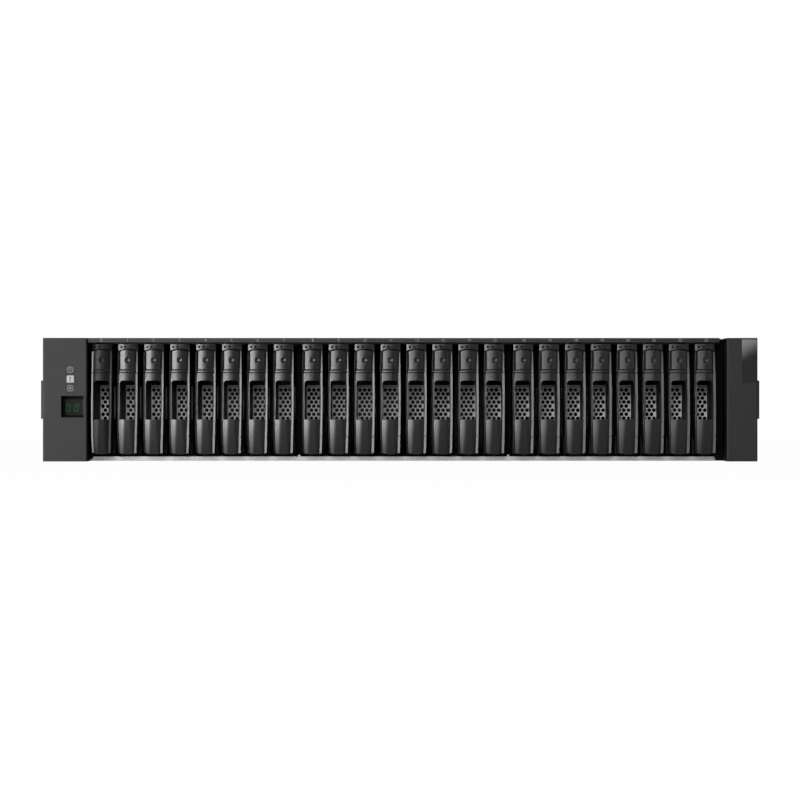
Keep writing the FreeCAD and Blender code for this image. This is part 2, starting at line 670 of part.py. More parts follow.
def lamps(clearance):
    """The three indicator lamps above the display, as solids through the cap's front wall."""
    x = -(BODY_WIDTH / 2 + CAP_REACH - LEFT_CAP_WIDTH + LAMP_EDGE)
    half = LAMP_WIDTH / 2 + clearance
    return [
        box(x - half, x + half, CAP_FRONT_Y, CAP_FRONT_Y + CAP_WALL, z - half, z + half)
        for z in (LAMP_MIDDLE_Z - LAMP_PITCH, LAMP_MIDDLE_Z, LAMP_MIDDLE_Z + LAMP_PITCH)
    ]


def display_opening(rim, y0, y1):
    right = -(BODY_WIDTH / 2 + CAP_REACH - LEFT_CAP_WIDTH + DISPLAY_EDGE)
    return box(
        right - DISPLAY_WIDTH - rim,
        right + min(rim, DISPLAY_EDGE - CAP_WALL),
        y0,
        y1,
        DISPLAY_SILL_Z - rim,
        DISPLAY_SILL_Z + DISPLAY_HEIGHT + rim,
    )


def left_end_cap():
    window = display_opening(0, CAP_FRONT_Y, CAP_FRONT_Y + CAP_WALL)
    return mirrored(end_cap(LEFT_CAP_WIDTH)).cut([window] + lamps(LAMP_CLEARANCE))


def status_display():
    """Display housing behind the cap's opening, with the lamps' light pipes standing on its upper arm."""
    back = CAP_FRONT_Y + CAP_WALL
    housing = display_opening(DISPLAY_RIM, back, back + DISPLAY_DEPTH)
    recess = display_opening(0, back, back + DISPLAY_RECESS)
    bounds = housing.BoundBox
    arm = box(
        bounds.XMin,
        bounds.XMax,
        back,
        back + DISPLAY_DEPTH,
        bounds.ZMax,
        LAMP_MIDDLE_Z + LAMP_PITCH + LAMP_WIDTH / 2 + DISPLAY_RIM,
    )
    return [joined(housing.cut(recess), arm)] + lamps(0)


# Rear canisters, made for the right-hand side, then mirrored for the left

def canister_shell(sill, height, openings):
    """Sheet-metal box, open towards the midplane, with openings in its rear wall."""
    x0 = DIVIDER_SHEET / 2 + CANISTER_CLEARANCE
    x1 = x0 + CANISTER_WIDTH
    outer = box(x0, x1, CANISTER_FRONT_Y, CHASSIS_REAR_Y, sill, sill + height)
    hollow = box(
        x0 + CANISTER_SHEET,
        x1 - CANISTER_SHEET,
        CANISTER_FRONT_Y,
        CHASSIS_REAR_Y - CANISTER_SHEET,
        sill + CANISTER_SHEET,
        sill + height - CANISTER_SHEET,
    )
    return outer.cut([hollow] + openings)


def pull_handle(sill, height):
    """U-shaped grip on the canister's rear wall, near its outer side."""
    x1 = DIVIDER_SHEET / 2 + CANISTER_CLEARANCE + CANISTER_WIDTH - PULL_EDGE
    x0 = x1 - PULL_WIDTH
    front = CHASSIS_REAR_Y
    rear = CHASSIS_REAR_Y + PULL_DEPTH
    outline = [
        (x0, front),
        (x0, rear - PULL_BAR),
        (x0 + PULL_BAR, rear),
        (x1 - PULL_BAR, rear),
        (x1, rear - PULL_BAR),
        (x1, front),
        (x1 - PULL_BAR, front),
        (x1 - PULL_BAR, rear - PULL_BAR),
        (x0 + PULL_BAR, rear - PULL_BAR),
        (x0 + PULL_BAR, front),
    ]
    low = sill + height / 2 - PULL_HEIGHT / 2
    return along_z(outline, low, low + PULL_HEIGHT)


def port_row(start, count, pitch, width, height, low, depth):
    """The mouths of a row of ports, each as deep as its cage."""
    return [
        box(x, x + width, CHASSIS_REAR_Y - depth, CHASSIS_REAR_Y, low, low + height)
        for x in (start + pitch * i for i in range(count))
    ]


def port_cage(mouths, depth, low, height):
    """One block around a row of ports, closed at its inner end and seated on the rear wall."""
    x0 = mouths[0].BoundBox.XMin - PORT_WALL
    x1 = mouths[-1].BoundBox.XMax + PORT_WALL
    block = box(
        x0,
        x1,
        CHASSIS_REAR_Y - depth - PORT_WALL,
        CHASSIS_REAR_Y - CANISTER_SHEET,
        low - PORT_WALL,
        low + height + PORT_WALL,
    )
    return block.cut(mouths)


def controller():
    inner_x = DIVIDER_SHEET / 2 + CANISTER_CLEARANCE
    board_low = CONTROLLER_SILL_Z + CANISTER_SHEET + MAIN_BOARD_RISE
    port_low = board_low + MAIN_BOARD_THICKNESS + PORT_RISE
    sfp_start = inner_x + PORT_START
    jack_start = sfp_start + SFP_COUNT * SFP_PITCH + PORT_GROUP_GAP
    sfp = port_row(sfp_start, SFP_COUNT, SFP_PITCH, SFP_WIDTH, SFP_HEIGHT, port_low, SFP_DEPTH)
    jacks = port_row(jack_start, JACK_COUNT, JACK_PITCH, JACK_WIDTH, JACK_HEIGHT, port_low, JACK_DEPTH)
    board_x0 = inner_x + MAIN_BOARD_MARGIN
    board_x1 = inner_x + CANISTER_WIDTH - MAIN_BOARD_MARGIN
    board_rear = CHASSIS_REAR_Y - MAIN_BOARD_MARGIN
    board = box(
        board_x0, board_x1, CANISTER_FRONT_Y, board_rear, board_low, board_low + MAIN_BOARD_THICKNESS
    )
    standoffs = [
        box(x, x + STANDOFF_WIDTH, y, y + STANDOFF_WIDTH, CONTROLLER_SILL_Z, board_low)
        for x in (board_x0 + STANDOFF_INSET, board_x1 - STANDOFF_INSET - STANDOFF_WIDTH)
        for y in (CANISTER_FRONT_Y + STANDOFF_INSET, board_rear - STANDOFF_INSET - STANDOFF_WIDTH)
    ]
    return [
        joined(canister_shell(CONTROLLER_SILL_Z, CONTROLLER_HEIGHT, sfp + jacks), *standoffs),
        board,
        port_cage(sfp, SFP_DEPTH, port_low, SFP_HEIGHT),
        port_cage(jacks, JACK_DEPTH, port_low, JACK_HEIGHT),
        pull_handle(CONTROLLER_SILL_Z, CONTROLLER_HEIGHT),
    ]


def power_supply():
    inner_x = DIVIDER_SHEET / 2 + CANISTER_CLEARANCE
    middle = POWER_SILL_Z + POWER_HEIGHT / 2
    low = middle - INLET_HEIGHT / 2
    inlet = port_row(inner_x + INLET_START, 1, INLET_WIDTH, INLET_WIDTH, INLET_HEIGHT, low, INLET_DEPTH)
    socket = box(
        inner_x + INLET_START - INLET_WALL,
        inner_x + INLET_START + INLET_WIDTH + INLET_WALL,
        CHASSIS_REAR_Y - INLET_DEPTH - INLET_WALL,
        CHASSIS_REAR_Y - CANISTER_SHEET,
        low - INLET_WALL,
        low + INLET_HEIGHT + INLET_WALL,
    ).cut(inlet)
    vents = [
        box(
            x,
            x + VENT_WIDTH,
            CHASSIS_REAR_Y - CANISTER_SHEET,
            CHASSIS_REAR_Y,
            POWER_SILL_Z + VENT_MARGIN,
            POWER_SILL_Z + POWER_HEIGHT - VENT_MARGIN,
        )
        for x in (inner_x + VENT_START + VENT_PITCH * i for i in range(VENT_COUNT))
    ]
    module = box(
        inner_x + MODULE_MARGIN,
        inner_x + CANISTER_WIDTH - MODULE_MARGIN,
        CHASSIS_REAR_Y - MODULE_SETBACK - MODULE_LENGTH,
        CHASSIS_REAR_Y - MODULE_SETBACK,
        POWER_SILL_Z + CANISTER_SHEET,
        POWER_SILL_Z + POWER_HEIGHT - MODULE_MARGIN,
    )
    return [
        canister_shell(POWER_SILL_Z, POWER_HEIGHT, inlet + vents),
        socket,
        module,
        pull_handle(POWER_SILL_Z, POWER_HEIGHT),
    ]


def main():
    os.makedirs("parts", exist_ok=True)
    carrier = [sled(), drive(), grille(), release_button(), indicator_cap(), pivot_pin()]
    handle = cam_handle()
    for number, x in enumerate(bay_centres(), start=1):
        save(f"drive_carrier_{number:02d}", *[moved(solid, x) for solid in carrier])
        save(f"cam_handle_{number:02d}", moved(handle, x))

    save("drive_cage", drive_cage())
    save("chassis_tray", chassis_tray())
    save("top_cover", top_cover())
    save("midplane_board", *midplane_board())
    save("rear_bay_divider", rear_bay_divider())
    save("left_end_cap", left_end_cap())
    save("right_end_cap", end_cap(RIGHT_CAP_WIDTH))
    save("status_display", *status_display())
    for name, pieces in (("controller", controller()), ("power_supply", power_supply())):
        save(name + "_a", *[mirrored(solid) for solid in pieces])
        save(name + "_b", *pieces)


main()
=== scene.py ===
import json
from math import cos, pi, radians, sin, sqrt

import bmesh
import bpy
from bpy.props import FloatProperty, FloatVectorProperty, PointerProperty
from mathutils import Matrix, Vector


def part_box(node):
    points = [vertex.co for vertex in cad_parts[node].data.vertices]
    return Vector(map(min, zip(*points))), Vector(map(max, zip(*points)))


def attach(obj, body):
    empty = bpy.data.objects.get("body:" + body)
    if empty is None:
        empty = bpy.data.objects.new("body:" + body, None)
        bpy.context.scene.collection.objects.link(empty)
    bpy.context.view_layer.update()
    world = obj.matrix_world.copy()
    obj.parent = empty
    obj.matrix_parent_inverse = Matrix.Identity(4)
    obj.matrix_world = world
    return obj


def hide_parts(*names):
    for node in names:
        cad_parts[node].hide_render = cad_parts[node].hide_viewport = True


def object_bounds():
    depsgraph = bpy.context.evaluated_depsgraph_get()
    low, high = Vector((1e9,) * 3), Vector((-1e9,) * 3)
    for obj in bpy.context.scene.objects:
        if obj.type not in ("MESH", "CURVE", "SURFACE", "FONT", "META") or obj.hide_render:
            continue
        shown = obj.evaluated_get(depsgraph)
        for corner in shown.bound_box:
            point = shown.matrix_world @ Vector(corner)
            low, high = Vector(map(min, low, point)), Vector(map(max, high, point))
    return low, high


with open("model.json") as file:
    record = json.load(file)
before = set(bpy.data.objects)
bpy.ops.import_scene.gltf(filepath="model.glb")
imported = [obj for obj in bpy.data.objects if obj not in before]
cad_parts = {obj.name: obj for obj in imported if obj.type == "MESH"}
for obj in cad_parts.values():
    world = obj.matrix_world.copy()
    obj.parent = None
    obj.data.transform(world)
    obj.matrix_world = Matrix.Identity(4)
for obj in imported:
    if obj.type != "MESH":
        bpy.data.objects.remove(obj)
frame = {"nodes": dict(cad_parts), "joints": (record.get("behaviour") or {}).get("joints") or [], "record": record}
CAD_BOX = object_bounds()

bl_info = {
    "name": "Storage array dressing",
    "version": (1, 0, 0),
    "blender": (4, 5, 0),
    "location": "View3D > Sidebar > Storage array",
    "description": "Builds the visible pieces and finishes of a rack storage array around its frame",
    "category": "Object",
}

# Metres, in the frame's axes: X across the rack, +Y to the rear, +Z up. Sizes are written in millimetres.

MM = 0.001

# Places read from the frame. The pieces of one bay are made at X = 0 and moved to each bay.

BAYS = sorted(name[-2:] for name in frame["nodes"] if name.startswith("cam_handle_"))
LEVER_LOW, LEVER_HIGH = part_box("cam_handle_" + BAYS[0])
CARRIER_LOW, CARRIER_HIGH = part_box("drive_carrier_" + BAYS[0])
PIVOT = Vector(next(j["pos_m"] for j in frame["joints"] if j["name"] == f"handle_{BAYS[0]}_swing"))
PIVOT_SET_BACK = 8.0 * MM  # the pivot pin, behind the lever's most forward line
LEVER_FRONT = PIVOT.y - PIVOT_SET_BACK
LEVER_HALF = (LEVER_HIGH.x - LEVER_LOW.x) / 2
DRIVE_HALF = (CARRIER_HIGH.x - CARRIER_LOW.x) / 2
LEFT_CAP_LOW, LEFT_CAP_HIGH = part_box("left_end_cap")
RIGHT_CAP_LOW, RIGHT_CAP_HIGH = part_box("right_end_cap")
CAGE_LOW, CAGE_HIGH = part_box("drive_cage")
TRAY_LOW, TRAY_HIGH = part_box("chassis_tray")
COVER_LOW, COVER_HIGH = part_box("top_cover")
OPENINGS = {
    opening["name"]: [Vector(corner) for corner in opening["box_m"]]
    for opening in frame["record"]["physics"]["openings"]
}

# Sides of a round shape: small, middling and large

SMALL_ROUND, MIDDLE_ROUND, LARGE_ROUND = 20, 24, 40


def bay_x(bay):
    low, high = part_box("cam_handle_" + bay)
    return (low.x + high.x) / 2


# Settings a user would change


def length(name, description, millimetres):
    return FloatProperty(
        name=name, description=description, default=millimetres * MM, unit="LENGTH", precision=5
    )


def ratio(name, description, value, top=1.0):
    return FloatProperty(
        name=name, description=description, default=value, min=0, max=top, subtype="FACTOR"
    )


def colour(name, description, value):
    return FloatVectorProperty(
        name=name, description=description, default=value, size=3, min=0, max=1, subtype="COLOR"
    )


class LeverSettings(bpy.types.PropertyGroup):
    bow_radius: length("Bow radius", "Side-view bow of the lever above its most forward line", 420)
    foot_bow_radius: length("Foot bow radius", "Side-view bow below that line", 130)
    bow_apex: length("Bow apex", "From the carrier's underside to the most forward line", 23.5)
    ridge_slope: ratio("Ridge slope", "Fall of the face's slanted sides for each unit across", 0.64)
    ridge_round: length("Ridge rounding", "How softly the slanted sides meet, at the top", 2.8)
    flat_half: length("Flat half", "Half the level part of the face, at the lever's foot", 2.6)
    barrel: length("Barrel", "How far the sides come in at the foot", 0.48)
    barrel_span: length("Barrel span", "Height over which the sides come in", 38)
    barrel_level: length("Barrel level", "Widest level, from the carrier's underside", 39.5)
    left_reach: length("Left reach", "How much further the left side stands out than the right", 0.45)
    left_strip: length("Left strip", "Slanted edge strip on the left", 1.0)
    right_strip: length("Right strip", "Slanted edge strip on the right", 1.75)
    rib_apex: length("Rib apex", "From the carrier's underside to the right strip's most forward level", 10.5)
    rib_radius: length("Rib radius", "Side-view bow of the right strip", 850)
    strip_slope: ratio("Strip slope", "Fall of the strips towards the face for each unit across", 0.61)
    valley: length("Valley", "Least depth of the line between a strip and the face", 1.4)
    edge: length("Edge", "Rounding of the outer edges", 0.25)
    depth: length("Depth", "From the most forward line to the back of the flanges", 7.5)
    flange: length("Flange", "Thickness of the flanges behind the strips", 1.5)
    hollow_depth: length("Hollow depth", "Channel behind the face, from the flanges' back", 2.0)
    hollow_rib: length("Hollow rib", "Closes the channel at its ends", 1.6)
    split_rise: length("Frame edge", "The frame's lower edge, above the carrier's underside", 12.3)
    foot_wall: length("Foot wall", "The face in front of the pivot", 1.9)
    foot_arch: length("Foot arch", "Rise of the round foot at its sides", 1.3)
    window_left: length("Window left", "From the bay's middle to the opening's left side", 5.75)
    window_right: length("Window right", "From the bay's middle to the opening's right side", 4.65)
    window_height: length("Window height", "Opening in the lever", 26.2)
    window_rise: length("Window rise", "From the carrier's underside to the sill", 23.7)
    window_corner: length("Window corner", "Rounding of the window's upper corners", 2.1)
    notch: length("Notch", "Height of the fine notch across the strips", 0.4)
    lug_width: length("Lug width", "Round lug on the pivot pin", 6.8)
    lug_radius: length("Lug radius", "Round lug on the pivot pin", 3.2)


class CarrierSettings(bpy.types.PropertyGroup):
    lever_gap: length("Lever gap", "Between the lever's top and the ridge", 0.3)
    ridge_height: length("Ridge height", "Bar between the lever and the button", 1.7)
    button_left: length("Button left", "From the bay's middle to the button's left side", 5.2)
    button_right: length("Button right", "From the bay's middle to the button's right side", 4.4)
    button_gap: length("Button gap", "Above and below the button", 0.75)
    flange_gap: length("Flange gap", "How much narrower the right strip is beside the button", 0.3)
    button_arch: length("Button arch", "Rise of the button's top", 1.0)
    button_front: length("Button front", "From the lever's most forward line", 1.3)
    pocket_floor: length("Pocket floor", "From the lever's most forward line", 4.9)
    dimple_diameter: length("Dimple diameter", "Finger dimple in the button", 4.6)
    dimple_depth: length("Dimple depth", "Finger dimple in the button", 1.3)
    dimple_left: length("Dimple place", "From the bay's middle, to the left", 0.5)
    dimple_rise: length("Dimple rise", "From the carrier's underside", 63.6)
    cap_height: length("Cap height", "Indicator cap at the top", 4.2)
    cap_front: length("Cap front", "From the lever's most forward line", 1.9)
    cap_round: length("Cap rounding", "Radius of the cap across its front", 10)
    lens_width: length("Lens width", "Indicator window", 1.6)
    lens_left: length("Lens place", "From the bay's middle to the first indicator window", 4.6)
    lens_pitch: length("Lens pitch", "Between the indicator windows", 3.1)
    lens_depth: length("Lens depth", "How far an indicator window is sunk", 0.7)
    frame_front: length("Frame front", "From the lever's most forward line", 7.8)
    frame_rear: length("Frame rear", "Grille plane, from the lever's most forward line", 23.5)
    frame_wall: length("Frame wall", "Side of the air tunnel", 1.2)
    frame_bar: length("Frame bar", "Above and below the air tunnel", 1.9)
    recess: length("Foot recess", "Room behind the pivot", 6.5)
    cheek: length("Cheek", "Ear that holds the pivot pin", 1.4)
    cheek_radius: length("Cheek radius", "Round end of the ear", 2.8)
    cheek_gap: length("Cheek gap", "Between an ear and the lever's lug", 0.25)
    rail: length("Rail", "Sled rail above and below the drive", 2.1)
    grille_sheet: length("Grille sheet", "Perforated sheet across the tunnel", 0.8)
    hole: length("Hole", "Across a hole of the grille", 2.64)
    hole_pitch: length("Hole pitch", "Across the grille", 3.22)
    row_pitch: length("Row pitch", "Up the grille", 2.79)
    drive_setback: length("Drive setback", "From the grille to the drive", 39.7)


class FinishSettings(bpy.types.PropertyGroup):
    lever: colour("Lever", "Charcoal plastic of levers and buttons", (0.007, 0.007, 0.00725))
    carrier: colour("Carrier", "Paint of the carrier frames", (0.009, 0.009, 0.0095))
    # painted highlight: a bright finish on the first carrier's outer left strip, standing in for light on that
    # strip
    bare_strip: colour("Bare strip", "Bare outer strip of the first carrier", (0.42, 0.42, 0.42))
    cap: colour("End caps", "Matt moulded end caps", (0.0115, 0.0115, 0.0118))
    # the cage's black paint, made darker than paint is as a painted shade, so the gaps between bays read as black
    cage: colour("Cage", "Black paint inside the bays", (0.0015, 0.0015, 0.0016))
    lip: colour("Upper lip", "Dark paint of the upper lip", (0.003, 0.0031, 0.0031))
    steel: colour("Zinc steel", "Zinc-coated sheet", (0.42, 0.425, 0.43))
    grille: colour("Grille", "Perforated steel", (0.62, 0.615, 0.60))
    print_grey: colour("Printed signs", "Light grey printing", (0.10, 0.10, 0.10))
    lamp: colour("Lamp", "Lit middle lamp", (0.25, 0.245, 0.235))
    digit: colour("Digits", "Lit segments", (0.0016, 0.038, 0.0115))
    panel: colour("Panel", "Display panel behind the digits", (0.002, 0.004, 0.0025))
    board: colour("Boards", "Solder mask", (0.012, 0.075, 0.032))


class StageSettings(bpy.types.PropertyGroup):
    distance: length("Camera distance", "From the end caps' front", 900)
    view_width: length("View width", "What the picture spans at the end caps' front", 536.8)
    view_x: length("View X", "Middle of the picture", -0.17)
    view_z: length("View Z", "Middle of the picture", 41.3)
    key: ratio("Key light", "Brightness of a white sheet facing the front light", 0.56, 4)
    side: ratio("Side light", "Brightness of a white sheet facing the left-hand light", 0.95, 4)
    low: ratio("Low light", "Brightness of a white sheet facing the low light at the front left", 0.22, 4)
    slant: ratio("Slanting light", "The same, for the light between those two", 0.11, 4)
    fill: ratio("Fill light", "Brightness of a white sheet facing the right-hand light", 0.03, 4)
    rear: ratio("Rear light", "Brightness of a white sheet facing the light behind", 0.6, 4)
    ambient: ratio("Ambient", "Even light from all round", 0.06, 2)


# Shader nodes


class Value:
    """A shader socket; arithmetic on it adds Math nodes."""

    def __init__(self, finish, socket):
        self.finish = finish
        self.socket = socket

    def math(self, operation, first, second):
        return self.finish.node("Math", {"operation": operation}, {0: first, 1: second})

    def __add__(self, other):
        return self.math("ADD", self, other)

    def __radd__(self, other):
        return self.math("ADD", other, self)

    def __sub__(self, other):
        return self.math("SUBTRACT", self, other)

    def __rsub__(self, other):
        return self.math("SUBTRACT", other, self)

    def __mul__(self, other):
        return self.math("MULTIPLY", self, other)

    def __rmul__(self, other):
        return self.math("MULTIPLY", other, self)


class Finish:
    """A material under construction."""

    def __init__(self, name):
        self.material = bpy.data.materials.new(name)
        self.material.use_nodes = True
        self.tree = self.material.node_tree
        self.shader = self.tree.nodes["Principled BSDF"]

    def node(self, kind, settings, sockets, output=0):
        """Adds a node: its settings first, then the values or links of its sockets."""
        made = self.tree.nodes.new("ShaderNode" + kind)
        for key, value in settings.items():
            setattr(made, key, value)
        for key, value in sockets.items():
            self.feed(made.inputs[key], value)
        return Value(self, made.outputs[output])

    def feed(self, socket, value):
        if isinstance(value, Value):
            self.tree.links.new(value.socket, socket)
        elif socket.type == "RGBA":
            socket.default_value = (*value[:3], 1)
        else:
            socket.default_value = value

    def surface(self, **sockets):
        """Sets the shader's own sockets, named in small letters with underscores."""
        names = {socket.name.lower().replace(" ", "_"): socket for socket in self.shader.inputs}
        for key, value in sockets.items():
            self.feed(names[key], value)
        return self.material

    def places(self, stretch=(1, 1, 1)):
        spots = self.node("TexCoord", {}, {}, output="Object")
        return self.node("Mapping", {}, {"Vector": spots, "Scale": stretch})

    def grain(self, size, detail=2.0, stretch=(1, 1, 1)):
        """Noise from 0 to 1 whose lumps are about the given size."""
        sockets = {"Vector": self.places(stretch), "Scale": 1 / size, "Detail": detail}
        return self.node("TexNoise", {}, sockets)

    def cells(self, size):
        """A random value from 0 to 1 for each cell of about the given size."""
        cells = self.node("TexVoronoi", {}, {"Vector": self.places(), "Scale": 1 / size}, output="Color")
        return self.node("SeparateColor", {}, {"Color": cells})

    def between(self, first, second, factor):
        return self.node("Mix", {"data_type": "RGBA"}, {0: factor, 6: first, 7: second}, output=2)

    def relief(self, height, depth):
        return self.node("Bump", {}, {"Strength": 1.0, "Distance": depth, "Height": height})

    def tone(self, base, spread, pattern):
        """A colour that a pattern makes darker and lighter by a share."""
        dark = [level * (1 - spread) for level in base]
        light = [min(level * (1 + spread), 1) for level in base]
        return self.between(dark, light, pattern)


def varied(roughness, pattern, spread):
    """Roughness that a pattern raises and lowers by up to half the spread."""
    return roughness + (pattern - 0.5) * spread


def moulded(name, base, roughness, grain=0.5 * MM, depth=0.012 * MM, **fixed):
    """Moulded plastic: fine spark-eroded grain and slightly uneven colour and gloss."""
    finish = Finish(name)
    fine = finish.grain(grain)
    return finish.surface(
        base_color=finish.tone(base, spread=0.14, pattern=finish.grain(9 * MM)),
        roughness=varied(roughness, fine, spread=0.16),
        normal=finish.relief(fine, depth),
        **fixed,
    )


def painted(name, base, roughness, **fixed):
    """Powder coat on sheet metal: an orange-peel surface."""
    finish = Finish(name)
    peel = finish.grain(0.9 * MM, detail=3.0)
    return finish.surface(
        base_color=finish.tone(base, spread=0.2, pattern=finish.grain(22 * MM)),
        roughness=varied(roughness, peel, spread=0.2),
        normal=finish.relief(peel, depth=0.02 * MM),
        **fixed,
    )


def zinc_sheet(name, base, roughness=0.52, metallic=0.4):
    """Zinc-coated sheet with faint spangle and rolling marks along its length."""
    finish = Finish(name)
    spangle = finish.cells(4.5 * MM)
    rolled = finish.grain(0.35 * MM, stretch=(1, 0.03, 1))
    return finish.surface(
        base_color=finish.tone(base, spread=0.07, pattern=spangle * 0.6 + rolled * 0.4),
        roughness=varied(varied(roughness, spangle, spread=0.06), rolled, spread=0.1),
        normal=finish.relief(rolled, depth=0.006 * MM),
        metallic=metallic,
    )


def brushed(name, base, roughness, stretch, metallic=0.9):
    """Bare metal with a brushed grain drawn out along one axis."""
    finish = Finish(name)
    lines = finish.grain(0.25 * MM, detail=3.0, stretch=stretch)
    return finish.surface(
        base_color=finish.tone(base, spread=0.16, pattern=lines),
        roughness=varied(roughness, lines, spread=0.2),
        normal=finish.relief(lines, depth=0.004 * MM),
        metallic=metallic,
    )


def glossy(name, base, roughness, **fixed):
    """Smooth plastic or glass with faint smears."""
    finish = Finish(name)
    smear = finish.grain(5 * MM, detail=3.0)
    return finish.surface(
        base_color=finish.tone(base, spread=0.1, pattern=smear),
        roughness=varied(roughness, smear, spread=0.08),
        **fixed,
    )


def lit(name, base, strength, **fixed):
    """Segment or lens that gives off its own light, a little uneven like a diffuser."""
    finish = Finish(name)
    tone = finish.tone(base, spread=0.2, pattern=finish.grain(0.6 * MM))
    return finish.surface(
        base_color=tone, emission_color=tone, emission_strength=strength, roughness=0.4, **fixed
    )


def circuit_board(name, base):
    """Solder mask over copper tracks, seen as faint raised lines."""
    finish = Finish(name)
    tracks = finish.node(
        "TexBrick",
        {"offset": 0.37, "squash": 0.6},
        {"Vector": finish.places(), "Scale": 60.0, "Mortar Size": 0.03},
        output="Fac",
    )
    speckle = finish.grain(0.7 * MM)
    return finish.surface(
        base_color=finish.tone(base, spread=0.3, pattern=tracks * 0.7 + speckle * 0.3),
        roughness=varied(0.425, speckle, spread=0.15),
        normal=finish.relief(tracks, depth=0.03 * MM),
    )


def backdrop(name, kept, mirrored, spread=1.0):
    """Pale matt surface that shows white to the camera and keeps a share of its shadows.

    Reflections show the mirrored share of the white. The kept share of the shadows fades out over the
    spread, in metres round the array's middle.
    """
    finish = Finish(name)
    camera, glossy_ray, transmission = (
        finish.node("LightPath", {}, {}, output=kind)
        for kind in ("Is Camera Ray", "Is Glossy Ray", "Is Transmission Ray")
    )
    seen = camera + glossy_ray * mirrored + transmission
    near = finish.node(
        "TexGradient",
        {"gradient_type": "SPHERICAL"},
        {"Vector": finish.places((1 / spread,) * 3)},
        output="Fac",
    )
    pale = finish.tone((0.8, 0.8, 0.8), spread=0.02, pattern=finish.grain(0.4))
    finish.surface(base_color=pale, roughness=0.9, specular_ior_level=0.0)
    white = finish.node("Emission", {}, {"Color": (1, 1, 1), "Strength": 1.0})
    matt = Value(finish, finish.shader.outputs[0])
    blend = finish.node("MixShader", {}, {0: seen * (1 - near * kept), 1: matt, 2: white})
    finish.feed(finish.tree.nodes["Material Output"].inputs["Surface"], blend)
    return finish.material


# Mesh building


def loft(shape, rings, finish=0, capped=True):
    """Skins closed rings of points that all have as many points."""
    loops = [[shape.verts.new(point) for point in ring] for ring in rings]
    count = len(loops[0])
    faces = [
        shape.faces.new((low[i], low[(i + 1) % count], high[(i + 1) % count], high[i]))
        for low, high in zip(loops, loops[1:])
        for i in range(count)
    ]
    if capped:
        faces += [shape.faces.new(loops[0][::-1]), shape.faces.new(loops[-1])]
    for face in faces:
        face.material_index = finish


def block(shape, low, high, finish=0):
    corners = ((low[0], low[1]), (high[0], low[1]), (high[0], high[1]), (low[0], high[1]))
    loft(shape, [[(x, y, z) for x, y in corners] for z in (low[2], high[2])], finish)


def plate(shape, outline, near, far, finish=0):
    """An upright plate between two Y planes; the outline holds (x, z) pairs."""
    loft(shape, [[(x, y, z) for x, z in outline] for y in (near, far)], finish)


def slab(shape, outline, left, right, finish=0):
    """A plate between two X planes; the outline holds (y, z) pairs."""
    loft(shape, [[(x, y, z) for y, z in outline] for x in (left, right)], finish)


def band(shape, outer, inner, near, far, finish=0):
    """An upright ring between two outlines that have as many points."""
    near_out, near_in, far_out, far_in = (
        [shape.verts.new((x, y, z)) for x, z in outline] for y in (near, far) for outline in (outer, inner)
    )
    for i in range(len(outer)):
        j = (i + 1) % len(outer)
        for a, b in ((near_out, near_in), (near_in, far_in), (far_in, far_out), (far_out, near_out)):
            shape.faces.new((a[i], a[j], b[j], b[i])).material_index = finish


def disc(centre, radius, sides):
    """Pairs round a centre."""
    angles = [2 * pi * i / sides for i in range(sides)]
    return [(centre[0] + radius * cos(a), centre[1] + radius * sin(a)) for a in angles]


def turned(shape, axis, spot, profile, sides, finish=0):
    """A round piece along an axis: the profile holds pairs of a place on it and a radius."""
    rings = []
    for place, radius in profile:
        rings.append([(*pair[:axis], place, *pair[axis:]) for pair in disc(spot, radius, sides)])
    loft(shape, rings, finish)


def rounded(x0, x1, z0, z1, radius, parts=4):
    """(x, z) pairs of a rectangle with round corners."""
    corners = ((x1, z0, -90), (x1, z1, 0), (x0, z1, 90), (x0, z0, 180))
    points = []
    for x, z, start in corners:
        middle = (x - radius if x == x1 else x + radius, z - radius if z == z1 else z + radius)
        for i in range(parts + 1):
            angle = radians(start + 90 * i / parts)
            points.append((middle[0] + radius * cos(angle), middle[1] + radius * sin(angle)))
    return points


def steps(first, last, count):
    return [first + (last - first) * i / count for i in range(count + 1)]


DOUBLED = 0.0005 * MM  # points that lie closer are one
SHARP_TURN = 32  # degrees: an edge that turns by more is rounded
CREASE = 38  # degrees: an edge that turns by more shows as a crease


def mended(shape):
    """Joins doubled points, drops collapsed faces and turns every face outwards."""
    bmesh.ops.remove_doubles(shape, verts=shape.verts, dist=DOUBLED)
    bmesh.ops.dissolve_degenerate(shape, edges=shape.edges, dist=DOUBLED)
    bmesh.ops.recalc_face_normals(shape, faces=shape.faces)
    return shape


def soften(shape, width, segments=2):
    """Rounds a shape's sharp edges, away from places where solids touch."""
    touching = {vert for edge in shape.edges if len(edge.link_faces) != 2 for vert in edge.verts}
    sharp = [
        edge
        for edge in shape.edges
        if touching.isdisjoint(edge.verts) and edge.calc_face_angle(0) > radians(SHARP_TURN)
    ]
    bmesh.ops.bevel(
        shape,
        geom=sharp,
        offset=width,
        segments=segments,
        profile=0.5,
        affect="EDGES",
        clamp_overlap=True,
        offset_type="OFFSET",
    )
    return mended(shape)


def evaluated(mesh, kind, **settings):
    """A mesh after one modifier."""
    holder = bpy.data.objects.new("holder", mesh)
    bpy.context.scene.collection.objects.link(holder)
    modifier = holder.modifiers.new(kind, kind)
    for key, value in settings.items():
        setattr(modifier, key, value)
    result = bpy.data.meshes.new_from_object(holder.evaluated_get(bpy.context.evaluated_depsgraph_get()))
    bpy.data.objects.remove(holder)
    bpy.data.meshes.remove(mesh)
    return result


def to_mesh(name, shape, finishes):
    """A mesh whose broad faces stay flat to the light beside their rounded edges."""
    mesh = bpy.data.meshes.new("draft")
    shape.to_mesh(mesh)
    shape.free()
    for material in finishes:
        mesh.materials.append(material)
    mesh.shade_smooth()
    mesh.set_sharp_from_angle(angle=radians(CREASE))
    mesh = evaluated(mesh, "WEIGHTED_NORMAL", keep_sharp=True)
    mesh.name = name
    return mesh


